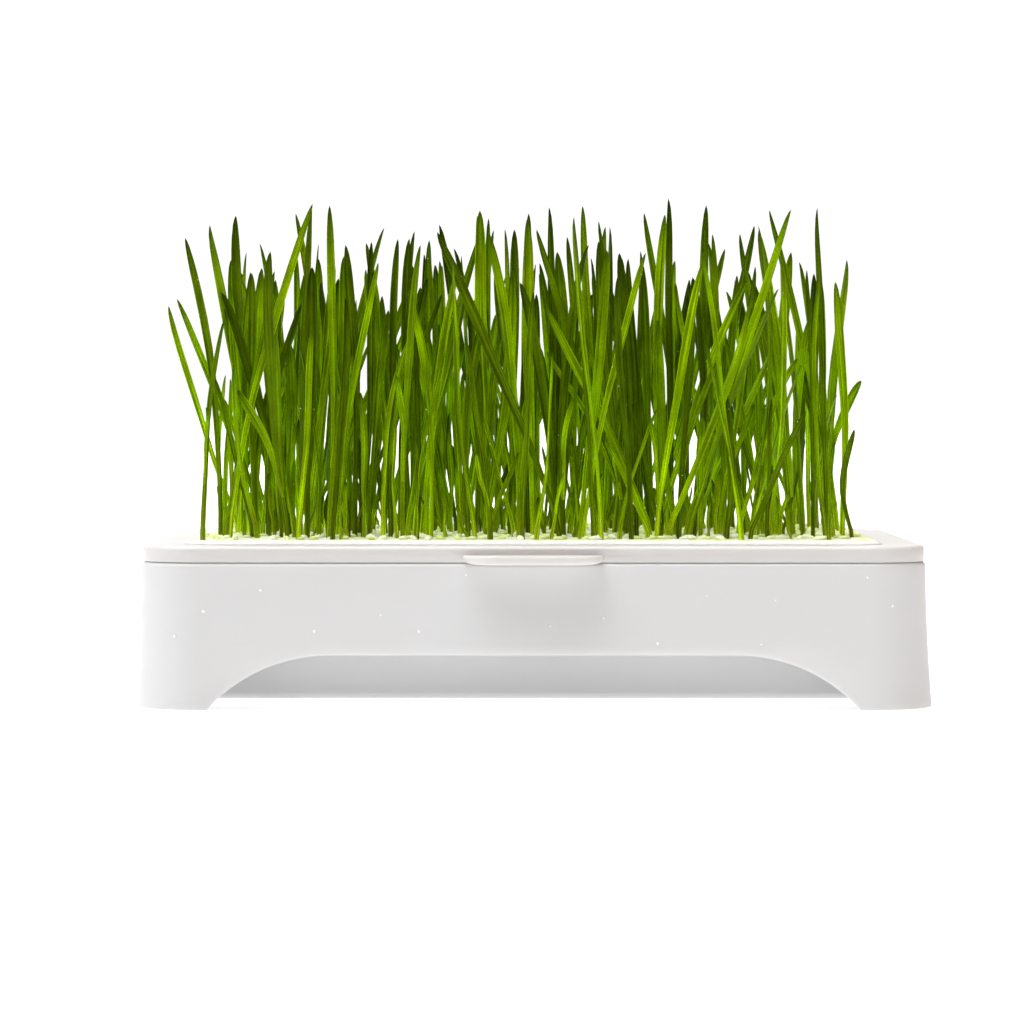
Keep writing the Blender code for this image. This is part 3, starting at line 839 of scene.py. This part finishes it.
# %% Set the points and finish the tree
slip = add_node(tree, "ShaderNodeVectorMath", {0: read["face"], 1: read["heading"]}, operation="DOT_PRODUCT")
stray = add_node(
    tree, "ShaderNodeVectorMath", {0: read["heading"], "Scale": slip.outputs["Value"]}, operation="SCALE"
)
level = add_node(tree, "ShaderNodeVectorMath", {0: read["face"], 1: stray.outputs[0]}, operation="SUBTRACT")
sideways = add_node(tree, "ShaderNodeVectorMath", {0: level.outputs[0]}, operation="NORMALIZE").outputs[0]
back = add_node(
    tree, "ShaderNodeVectorMath", {0: read["heading"], 1: sideways}, operation="CROSS_PRODUCT"
).outputs[0]
move_out = add_node(tree, "ShaderNodeVectorMath", {0: sideways, "Scale": reach}, operation="SCALE").outputs[0]
move_up = add_node(tree, "ShaderNodeVectorMath", {0: back, "Scale": lift}, operation="SCALE").outputs[0]
moved = add_node(tree, "ShaderNodeVectorMath", {0: move_out, 1: move_up}, operation="ADD").outputs[0]
where = add_node(tree, "ShaderNodeVectorMath", {0: read["rail"], 1: moved}, operation="ADD").outputs[0]
shaped = add_node(tree, "GeometryNodeSetPosition", {"Geometry": swept.outputs[0], "Position": where})
closed = add_node(tree, "GeometryNodeMergeByDistance", {"Geometry": shaped.outputs[0], "Distance": 0.01 * MM})
smooth = add_node(tree, "GeometryNodeSetShadeSmooth", {"Geometry": closed.outputs[0]})
real = add_node(tree, "GeometryNodeRealizeInstances", {"Geometry": smooth.outputs[0]})
painted = add_node(
    tree, "GeometryNodeSetMaterial", {"Geometry": real.outputs[0], "Material": start.outputs["Material"]}
)
tree.links.new(painted.outputs[0], end.inputs[0])
blade_tree = tree
print("the finished blade tree has", len(tree.nodes), "nodes")

# %% [markdown]
# ## Leaf
# A wheat leaf is a thin waxy sheet with parallel veins. Where light falls on it, it
# is a deep yellow-green; where light comes through from behind, it glows a brighter
# yellow. So the shader is a glossy Principled leaf with a share of Translucent mixed
# in. Colour runs from the pale yellow sheath to a deeper green higher up, and each
# blade has its own shade. Near its tip each blade is darkened further as painted
# shade, and both its edges are lightened as a painted highlight. The veins are drawn
# wider than life, about a fifth of the blade each, because the real quarter-millimetre
# ones are below a pixel. The fine hairs of the leaf are drawn as 0.7 mm noise for the
# same reason.

# %% Leaf
def leaf_material(name):
    """Make the leaf, coloured by height above the bed and by the blade's own attributes."""
    material, tree, output = new_material(name)
    along = add_node(tree, "ShaderNodeAttribute", attribute_name="along").outputs["Fac"]
    across = add_node(tree, "ShaderNodeAttribute", attribute_name="across").outputs["Fac"]
    tone = add_node(tree, "ShaderNodeAttribute", attribute_name="tone").outputs["Fac"]
    age = add_node(tree, "ShaderNodeAttribute", attribute_name="age").outputs["Fac"]
    place = add_node(tree, "ShaderNodeTexCoord").outputs["Object"]

    strip = add_node(tree, "ShaderNodeCombineXYZ", {0: across, 1: along, 2: tone})
    stretched = add_node(
        tree, "ShaderNodeVectorMath", {0: strip.outputs[0], 1: (VEINS, 3.0, 80.0)}, operation="MULTIPLY"
    )
    vein = add_node(
        tree, "ShaderNodeTexNoise", {"Vector": stretched.outputs[0], "Scale": 1.0, "Detail": 2.0}
    ).outputs[0]
    blotch = add_node(
        tree, "ShaderNodeTexNoise", {"Vector": place, "Scale": 1 / BLOTCH, "Detail": 2.0}
    ).outputs[0]
    hair = add_node(tree, "ShaderNodeTexNoise", {"Vector": place, "Scale": 1 / HAIR, "Detail": 3.0}).outputs[0]

    up = add_node(tree, "ShaderNodeSeparateXYZ", {0: place}).outputs["Z"]
    climb = add_node(tree, "ShaderNodeMapRange", {0: up, 1: BED_TOP * MM, 2: (BED_TOP + 145) * MM, 3: 0.0, 4: 1.0})
    wander = add_node(
        tree, "ShaderNodeMath", {0: blotch, 1: 0.14, 2: climb.outputs[0]}, operation="MULTIPLY_ADD"
    )
    height = add_node(
        tree, "ShaderNodeMath", {0: wander.outputs[0], 1: 0.07}, operation="SUBTRACT", use_clamp=True
    )
    run = add_node(tree, "ShaderNodeValToRGB", {0: height.outputs[0]})
    set_stops(run, (
        (0.0, "#bac92a"), (0.06, "#aac80a"), (0.18, "#a0c400"),
        (0.45, "#96bc00"), (0.8, "#9aba00"), (1.0, "#8cac00"),
    ))
    shade = add_node(tree, "ShaderNodeValToRGB", {0: tone})
    set_stops(shade, ((0.0, "#8a927a"), (0.3, "#b6be9e"), (0.7, "#e8eed0"), (1.0, "#fffff0")))
    # The last part of each blade darkens towards its tip: painted shade.
    painted_tip_shade = add_node(tree, "ShaderNodeValToRGB", {0: along})
    set_stops(painted_tip_shade, ((0.84, "#ffffff"), (0.95, "#c6d0ae"), (1.0, "#8f9a70")))
    colour = run.outputs[0]
    for factor in (shade.outputs[0], painted_tip_shade.outputs[0]):
        colour = add_node(
            tree, "ShaderNodeMix", {0: 1.0, 6: colour, 7: factor}, data_type="RGBA", blend_type="MULTIPLY"
        ).outputs[2]

    from_rib = add_node(tree, "ShaderNodeMath", {0: across}, operation="ABSOLUTE").outputs[0]
    for fact, low, high, least, most in (
        (vein, 0.34, 0.66, 0.52, 1.42),
        (blotch, 0.3, 0.7, 0.80, 1.22),
        (hair, 0.3, 0.7, 0.84, 1.16),
        # Both edges of every blade are lightened here: a painted highlight.
        (from_rib, 0.84, 1.0, 1.0, 1.8),
        (from_rib, 0.0, 0.2, 1.45, 1.0),
    ):
        change = add_node(tree, "ShaderNodeMapRange", {0: fact, 1: low, 2: high, 3: least, 4: most})
        colour = add_node(
            tree, "ShaderNodeVectorMath", {0: colour, "Scale": change.outputs[0]}, operation="SCALE"
        ).outputs[0]
    glow = add_node(tree, "ShaderNodeVectorMath", {0: colour, 1: (1.5, 1.3, 0.5)}, operation="MULTIPLY")

    ridge = add_node(tree, "ShaderNodeMath", {0: hair, 1: 0.5, 2: vein}, operation="MULTIPLY_ADD")
    bump = add_node(tree, "ShaderNodeBump", {"Height": ridge.outputs[0], "Strength": 0.7, "Distance": 0.4 * MM})
    rough = add_node(tree, "ShaderNodeMapRange", {0: age, 1: 0.0, 2: 1.0, 3: 0.32, 4: 0.55})
    shader = add_node(
        tree,
        "ShaderNodeBsdfPrincipled",
        {
            "Base Color": colour,
            "Roughness": rough.outputs[0],
            "Normal": bump.outputs["Normal"],
            "IOR": 1.42,
            "Specular IOR Level": 0.5,
            "Specular Tint": (0.75, 1.0, 0.08, 1.0),
        },
    )
    through = add_node(
        tree, "ShaderNodeBsdfTranslucent", {"Color": glow.outputs[0], "Normal": bump.outputs["Normal"]}
    )
    leaf = add_node(tree, "ShaderNodeMixShader", {0: 0.36, 1: shader.outputs[0], 2: through.outputs[0]})
    tree.links.new(leaf.outputs[0], output.inputs["Surface"])
    return material


VEINS = 2.6
BLOTCH = 14 * MM
HAIR = 0.7 * MM
leaf = leaf_material("living_wheatgrass_leaf")
print("leaf material:", leaf.name)

# %% Grow the blades
def run_tree(name, mesh, tree, values):
    """Run a tree on a mesh, with its inputs set by identifier, and keep the plain result."""
    piece = new_object(name, mesh)
    modifier = add_modifier(piece, "NODES", node_group=tree)
    for socket in tree.interface.items_tree:
        if socket.in_out == "INPUT" and socket.name in values:
            modifier[socket.identifier] = values[socket.name]
    make_plain(piece)
    return piece


def drop_attributes(piece, names):
    """Remove working attributes that the finished piece doesn't need."""
    for name in names:
        if name in piece.data.attributes:
            piece.data.attributes.remove(piece.data.attributes[name])


grass = run_tree("wheatgrass_shoots", guides, blade_tree, {"Material": leaf})
drop_attributes(grass, ("heading", "rail", "face", "width", "foot", "rise"))
finish_piece(grass, "wheatgrass", "wheatgrass_sward")

# %% [markdown]
# ## The root mat
# Under the shoots the roots have grown into one springy white felt that takes the
# shape of the grow tray. It has crept a little over the tray's inner edge and stands
# 2 mm proud of its rim, in a soft white brow. Its top is lumpy with seeds. The felt
# is a loft of the same rings as its solid, with the top divided finely and pushed
# about by noise. Root hair is far finer than a pixel, so it is drawn as 1.1 mm noise.

# %% The root mat
MAT_FOOT = GROW_FLOOR + 0.3
MAT_STEP = 5.0
BROW_START = 17.8
BROW_END = 22.0
BROW_STEPS = 6


def root_mat_rings():
    """List the mat's rings: up the wall, over the flange's inner edge and up its soft brow."""
    foot = GROW_FOOT_INSET + 0.4
    side = [(foot + 3.4, MAT_FOOT), (foot + 0.6, MAT_FOOT + 1.6), (foot, MAT_FOOT + 4.0)]
    side += fillet(FLANGE_INSET, GROW_RIM - GROW_FILLET, GROW_FILLET + 0.15, 180, 95, 5)
    for step in range(BROW_STEPS + 1):
        t = step / BROW_STEPS
        rise = (BED_TOP - GROW_RIM - 0.05) * t * t * (3 - 2 * t)
        side.append((BROW_START + (BROW_END - BROW_START) * t, GROW_RIM + 0.05 + rise))
    rings = [rounded_ring(inset, GROW_CORNER - max(inset - foot, 0.0), min(z, BED_TOP), 10) for inset, z in side]
    inset = BROW_END + 1.0
    while inset < DEPTH / 2 - 3:
        inset += MAT_STEP
        rings.append(rounded_ring(min(inset, DEPTH / 2 - 2), max(12.0 - 0.14 * inset, 1.0), BED_TOP, 10))
    return rings


def felt_material(name):
    """Make the matted roots: near white, with green light and husk colour in the hollows."""
    material, tree, output = new_material(name)
    place = add_node(tree, "ShaderNodeTexCoord").outputs["Object"]
    blotch = add_node(tree, "ShaderNodeTexNoise", {"Vector": place, "Scale": 1 / (5 * MM), "Detail": 4.0})
    lumpy = add_node(tree, "ShaderNodeValToRGB", {0: blotch.outputs["Fac"]})
    set_stops(lumpy, ((0.3, "#dcea98"), (0.45, "#eaf4ba"), (0.6, "#f6fade"), (1.0, "#fdfdf4")))
    up = add_node(tree, "ShaderNodeSeparateXYZ", {0: place}).outputs["Z"]
    top = add_node(tree, "ShaderNodeMapRange", {0: up, 1: (BED_TOP - 0.8) * MM, 2: (BED_TOP - 0.2) * MM})
    colour = add_node(
        tree, "ShaderNodeMix", {0: top.outputs[0], 6: linear("#fdfdfd"), 7: lumpy.outputs[0]}, data_type="RGBA"
    ).outputs[2]
    fibre = add_node(
        tree, "ShaderNodeTexNoise", {"Vector": place, "Scale": 1 / (1.1 * MM), "Detail": 5.0, "Distortion": 1.5}
    )
    bump = add_node(
        tree, "ShaderNodeBump", {"Height": fibre.outputs["Fac"], "Strength": 0.35, "Distance": 0.4 * MM}
    )
    shader = add_node(
        tree,
        "ShaderNodeBsdfPrincipled",
        {
            "Base Color": colour,
            "Roughness": 0.85,
            "Normal": bump.outputs["Normal"],
            "Sheen Weight": 0.3,
            "Subsurface Weight": 0.6,
            "Subsurface Radius": (1.0, 1.0, 0.9),
            "Subsurface Scale": 6 * MM,
        },
    )
    tree.links.new(shader.outputs["BSDF"], output.inputs["Surface"])
    return material


felt = felt_material("matted_wheat_roots")
mat = new_object("root_mat", loft("root_mat", root_mat_rings(), close_start=True), felt)
add_modifier(mat, "SUBSURF", levels=1, render_levels=1, subdivision_type="SIMPLE")
lumps = bpy.data.textures.new("lumps", "CLOUDS")
lumps.noise_scale = 5 * MM
make_plain(mat)
raise_top = mat.vertex_groups.new(name="top")
inner = ((LENGTH / 2 - BROW_END - 0.5) * MM, (DEPTH / 2 - BROW_END - 0.5) * MM)
for vertex in mat.data.vertices:
    x, y, z = vertex.co
    if z > (BED_TOP - 0.1) * MM and abs(x) < inner[0] and abs(y) < inner[1]:
        raise_top.add([vertex.index], 1.0, "REPLACE")
add_modifier(
    mat, "DISPLACE", texture=lumps, strength=3.2 * MM, mid_level=0.5, vertex_group="top", direction="Z",
    texture_coords="LOCAL",
)
make_plain(mat)
mat.data.shade_smooth()
finish_piece(mat, "wheatgrass", "wheatgrass_sward")

# %% [markdown]
# ## Seeds
# Every shoot came out of a wheat grain, and hundreds more lie between, pale, swollen
# and half sunk in the felt under their own white hairs. A grain is a long round body
# with a groove. Geometry Nodes scatters it over a plane at the height of the bed,
# with a random turn, size and shade for each.

# %% Seeds
SEED_LENGTH = 6.2
SEED_SPACING = 5.2


def grain_mesh(name):
    """Model one wheat grain as a stretched sphere with a crease along its underside."""
    body = bmesh.new()
    bmesh.ops.create_uvsphere(body, u_segments=8, v_segments=6, radius=0.5)
    for vertex in body.verts:
        x, y, z = vertex.co
        pinch = 1.0 - 0.35 * abs(z) ** 1.5
        vertex.co = Vector((z * SEED_LENGTH, x * 3.1 * pinch, y * 2.7 * pinch)) * MM
        if abs(x) < 0.1 and y < 0:
            vertex.co.z += 0.4 * MM
    mesh = bpy.data.meshes.new(name)
    body.to_mesh(mesh)
    body.free()
    return mesh


tree, start, end = new_tree(
    "scatter_grains",
    (
        ("Grain", "NodeSocketObject", None),
        ("Spacing", FLOAT, SEED_SPACING * MM),
        ("Density", FLOAT, 26000.0),
        ("Seed", "NodeSocketInt", 4),
        ("Material", "NodeSocketMaterial", None),
    ),
)
spots = add_node(
    tree,
    "GeometryNodeDistributePointsOnFaces",
    {
        "Mesh": start.outputs["Geometry"],
        "Distance Min": start.outputs["Spacing"],
        "Density Max": start.outputs["Density"],
        "Seed": start.outputs["Seed"],
    },
    distribute_method="POISSON",
)
turned = add_node(
    tree,
    "FunctionNodeRandomValue",
    {0: (-0.35, -0.3, 0.0), 1: (0.35, 0.3, 6.283), "Seed": start.outputs["Seed"]},
    data_type="FLOAT_VECTOR",
)
sized = add_node(tree, "FunctionNodeRandomValue", {2: 0.78, 3: 1.12, "Seed": start.outputs["Seed"]})
shade = add_node(tree, "FunctionNodeRandomValue", {2: 0.0, 3: 1.0, "Seed": start.outputs["Seed"]})
grain = add_node(tree, "GeometryNodeObjectInfo", {"Object": start.outputs["Grain"]})
sown = add_node(
    tree,
    "GeometryNodeInstanceOnPoints",
    {
        "Points": spots.outputs["Points"],
        "Instance": grain.outputs["Geometry"],
        "Rotation": turned.outputs[0],
        "Scale": sized.outputs[1],
    },
)
shaded = add_node(
    tree,
    "GeometryNodeStoreNamedAttribute",
    {0: sown.outputs[0], "Name": "tone", "Value": shade.outputs[1]},
    domain="INSTANCE",
)
real = add_node(tree, "GeometryNodeRealizeInstances", {0: shaded.outputs[0]})
smooth = add_node(tree, "GeometryNodeSetShadeSmooth", {0: real.outputs[0]})
painted = add_node(
    tree, "GeometryNodeSetMaterial", {0: smooth.outputs[0], "Material": start.outputs["Material"]}
)
tree.links.new(painted.outputs[0], end.inputs[0])
scatter_tree = tree
print("the scatter tree has", len(tree.nodes), "nodes")

# %% Sow the seeds
def grain_material(name):
    """Make soaked wheat bran: straw under pale root hair, each grain in its own shade."""
    material, tree, output = new_material(name)
    tone = add_node(tree, "ShaderNodeAttribute", attribute_name="tone").outputs["Fac"]
    place = add_node(tree, "ShaderNodeTexCoord").outputs["Object"]
    colour = add_node(tree, "ShaderNodeValToRGB", {0: tone})
    set_stops(colour, ((0.0, "#cfe07c"), (0.3, "#e2f0a0"), (0.65, "#f0f9c4"), (1.0, "#fafce4")))
    hair = add_node(tree, "ShaderNodeTexNoise", {"Vector": place, "Scale": 1 / (0.8 * MM), "Detail": 4.0})
    bump = add_node(tree, "ShaderNodeBump", {"Height": hair.outputs["Fac"], "Strength": 0.6, "Distance": 0.3 * MM})
    shader = add_node(
        tree,
        "ShaderNodeBsdfPrincipled",
        {
            "Base Color": colour.outputs[0],
            "Roughness": 0.6,
            "Normal": bump.outputs["Normal"],
            "Sheen Weight": 0.2,
            "Subsurface Weight": 0.5,
            "Subsurface Radius": (1.0, 1.0, 0.8),
            "Subsurface Scale": 2 * MM,
        },
    )
    tree.links.new(shader.outputs["BSDF"], output.inputs["Surface"])
    return material


bran = grain_material("soaked_wheat_bran")
one_grain = new_object("grain", grain_mesh("grain"))
sowing = plate("sowing", ((-146, -101), (146, -101), (146, 101), (-146, 101)), 0.02, Matrix.Identity(4))
sowing_mesh = sowing.data
bpy.data.objects.remove(sowing, do_unlink=True)
flat = bmesh.new()
flat.from_mesh(sowing_mesh)
bmesh.ops.delete(flat, geom=[f for f in flat.faces if f.normal.z < 0.5], context="FACES")
bmesh.ops.translate(flat, verts=flat.verts, vec=(0, 0, (BED_TOP + 0.4) * MM))
flat.to_mesh(sowing_mesh)
flat.free()
seeds = run_tree("wheat_seeds", sowing_mesh, scatter_tree, {"Grain": one_grain, "Material": bran})
bpy.data.objects.remove(one_grain, do_unlink=True)
finish_piece(seeds, "wheatgrass")

# %% [markdown]
# ## Water
# The stand has just been misted. A few beads cling to the front of the water tray,
# and finer dew lies on the blades. A bead on a wall is the near half of a small
# drop, so each is a sphere with its middle on the surface. A clear bead under 2 mm
# can't be seen on white plastic, so the water is a little milky and catches the
# light. The tree that sowed the seeds strews the drops too, over the front of the
# skirt and over the blades.

# %% Water
def drop_mesh(name, radius, fine):
    """Model one drop of water as a small sphere."""
    body = bmesh.new()
    bmesh.ops.create_icosphere(body, subdivisions=fine, radius=radius * MM)
    mesh = bpy.data.meshes.new(name)
    body.to_mesh(mesh)
    body.free()
    return mesh


def surface_of(piece, keep):
    """Copy the faces of a piece that a rule keeps, given each centre in mm and normal."""
    part = bmesh.new()
    part.from_mesh(piece.data)
    dropped = [f for f in part.faces if not keep(f.calc_center_median() / MM, f.normal)]
    bmesh.ops.delete(part, geom=dropped, context="FACES")
    mesh = bpy.data.meshes.new("surface")
    part.to_mesh(mesh)
    part.free()
    return mesh


def strew_drops(name, mesh, radius, fine, spacing, density, seed):
    """Scatter drops of one size over a mesh."""
    one = new_object("drop", drop_mesh("drop", radius, fine))
    values = {"Grain": one, "Spacing": spacing * MM, "Density": density, "Seed": seed, "Material": water}
    strewn = run_tree(name, mesh, scatter_tree, values)
    bpy.data.objects.remove(one, do_unlink=True)
    return strewn


water, tree, output = new_material("clear_water")
wet = add_node(
    tree,
    "ShaderNodeBsdfPrincipled",
    {"Base Color": linear("#ffffff"), "Roughness": 0.1, "IOR": 1.333, "Transmission Weight": 0.15},
)
tree.links.new(wet.outputs["BSDF"], output.inputs["Surface"])

front = surface_of(water_shell, lambda at, normal: normal.y < -0.9 and at.y < -120 and at.z > 26)
beads = strew_drops("water_beads", front, 0.7, 3, 16.0, 2600.0, 6)
finish_piece(beads, "water_tray_plastic")
blades_only = surface_of(grass, lambda at, normal: at.z > 95)
dew = strew_drops("dew_on_blades", blades_only, 0.25, 1, 9.0, 900.0, 3)
finish_piece(dew, "wheatgrass")

# %% [markdown]
# ## Floor, light and camera
# The tray stands on a white light table in a bright room, so it is lit from below as
# well: the wall behind the arch is nearly as bright as the front. A softbox hangs
# above, a little to the left and in front. The world's light gives its spread, and a
# wide sun its direction, kept soft enough that no wall burns out to the white of the
# table. Behind the tray the room is white, and on the right it is dark and warm, which
# shades the rounded end. The camera is almost level with the rim, far back with a
# long lens.

# %% Floor and light
CAMERA_DISTANCE = 1775.0
CAMERA_HEIGHT = 130.5
FOCAL_PIXELS = 3861.0
IMAGE_SIZE = 1024
HORIZON_ROW = 405.0
CENTRE_COLUMN = 533.5


def floor_material(name):
    """Make a white light table: matt acrylic, lit evenly from below."""
    material, tree, output = new_material(name)
    place = add_node(tree, "ShaderNodeTexCoord").outputs["Object"]
    tooth = add_node(tree, "ShaderNodeTexNoise", {"Vector": place, "Scale": 1 / (4 * MM), "Detail": 3.0})
    bump = add_node(
        tree, "ShaderNodeBump", {"Height": tooth.outputs["Fac"], "Strength": 0.05, "Distance": 0.1 * MM}
    )
    shader = add_node(
        tree,
        "ShaderNodeBsdfPrincipled",
        {
            "Base Color": linear("#cccccc"),
            "Roughness": 0.9,
            "Normal": bump.outputs["Normal"],
            "Specular IOR Level": 0.1,
            "Emission Color": linear("#ffffff"),
            "Emission Strength": 0.76,
        },
    )
    tree.links.new(shader.outputs["BSDF"], output.inputs["Surface"])
    return material


floor_mesh = bpy.data.meshes.new("floor")
floor_mesh.from_pydata([(-40, -40, 0), (40, -40, 0), (40, 40, 0), (-40, 40, 0)], [], [(0, 1, 2, 3)])
floor = new_object("floor", floor_mesh, floor_material("matt_studio_floor"))

world = bpy.data.worlds.new("studio")
bpy.context.scene.world = world
world.use_nodes = True
tree = world.node_tree
tree.nodes.clear()
heading = add_node(tree, "ShaderNodeTexCoord").outputs["Generated"]
parts = add_node(tree, "ShaderNodeSeparateXYZ", {0: heading})
aside = add_node(tree, "ShaderNodeMapRange", {0: parts.outputs["X"], 1: -1.0, 2: 1.0, 3: 0.0, 4: 1.0})
sides = add_node(tree, "ShaderNodeValToRGB", {0: aside.outputs[0]})
set_stops(sides, (
    (0.0, "#cccecf"), (0.4, "#ffffff"), (0.57, "#ffffff"), (0.68, "#a08268"), (1.0, "#301c0c"),
))
depth = add_node(tree, "ShaderNodeMapRange", {0: parts.outputs["Y"], 1: -1.0, 2: 1.0})
backdrop = add_node(tree, "ShaderNodeValToRGB", {0: depth.outputs[0]})
set_stops(backdrop, ((0.0, "#5c5c5c"), (0.5, "#c8c8c8"), (0.94, "#c8c8c8"), (0.985, "#ffffff")))
level = add_node(
    tree, "ShaderNodeVectorMath", {0: sides.outputs[0], 1: backdrop.outputs[0]}, operation="MULTIPLY"
)
overhead = add_node(tree, "ShaderNodeMapRange", {0: parts.outputs["Z"], 1: 0.7, 2: 0.92, 3: 1.0, 4: 5.6})
lit = add_node(
    tree, "ShaderNodeVectorMath", {0: level.outputs[0], "Scale": overhead.outputs[0]}, operation="SCALE"
)
sky = add_node(tree, "ShaderNodeBackground", {"Color": lit.outputs[0], "Strength": 1.06})
sky_out = add_node(tree, "ShaderNodeOutputWorld", {0: sky.outputs[0]})

sun_data = bpy.data.lights.new("softbox", "SUN")
sun_data.energy = 1.9
sun_data.angle = math.radians(50)
sun_data.color = (0.98, 0.99, 1.0)
sun = bpy.data.objects.new("softbox", sun_data)
bpy.context.scene.collection.objects.link(sun)
sun.rotation_euler = Vector((0.6, 0.36, -2.0)).to_track_quat("-Z", "Y").to_euler()
bpy.context.scene.view_settings.view_transform = "Standard"
print("sun from", [round(math.degrees(a)) for a in sun.rotation_euler])

# %% Camera
camera_data = bpy.data.cameras.new("camera")
camera = bpy.data.objects.new("camera", camera_data)
bpy.context.scene.collection.objects.link(camera)
camera.location = Vector((0, -CAMERA_DISTANCE, CAMERA_HEIGHT)) * MM
camera_data.sensor_width = 36.0
camera_data.lens = FOCAL_PIXELS * camera_data.sensor_width / IMAGE_SIZE
pitch = math.atan((IMAGE_SIZE / 2 - HORIZON_ROW) / FOCAL_PIXELS)
yaw = math.atan((CENTRE_COLUMN - IMAGE_SIZE / 2) / FOCAL_PIXELS)
camera.rotation_euler = (math.radians(90) - pitch, 0, yaw)
camera_data.clip_start = 0.05
camera_data.clip_end = 200
bpy.context.scene.camera = camera
print("lens", round(camera_data.lens, 1), "mm, pitched", round(math.degrees(pitch), 2), "degrees down")
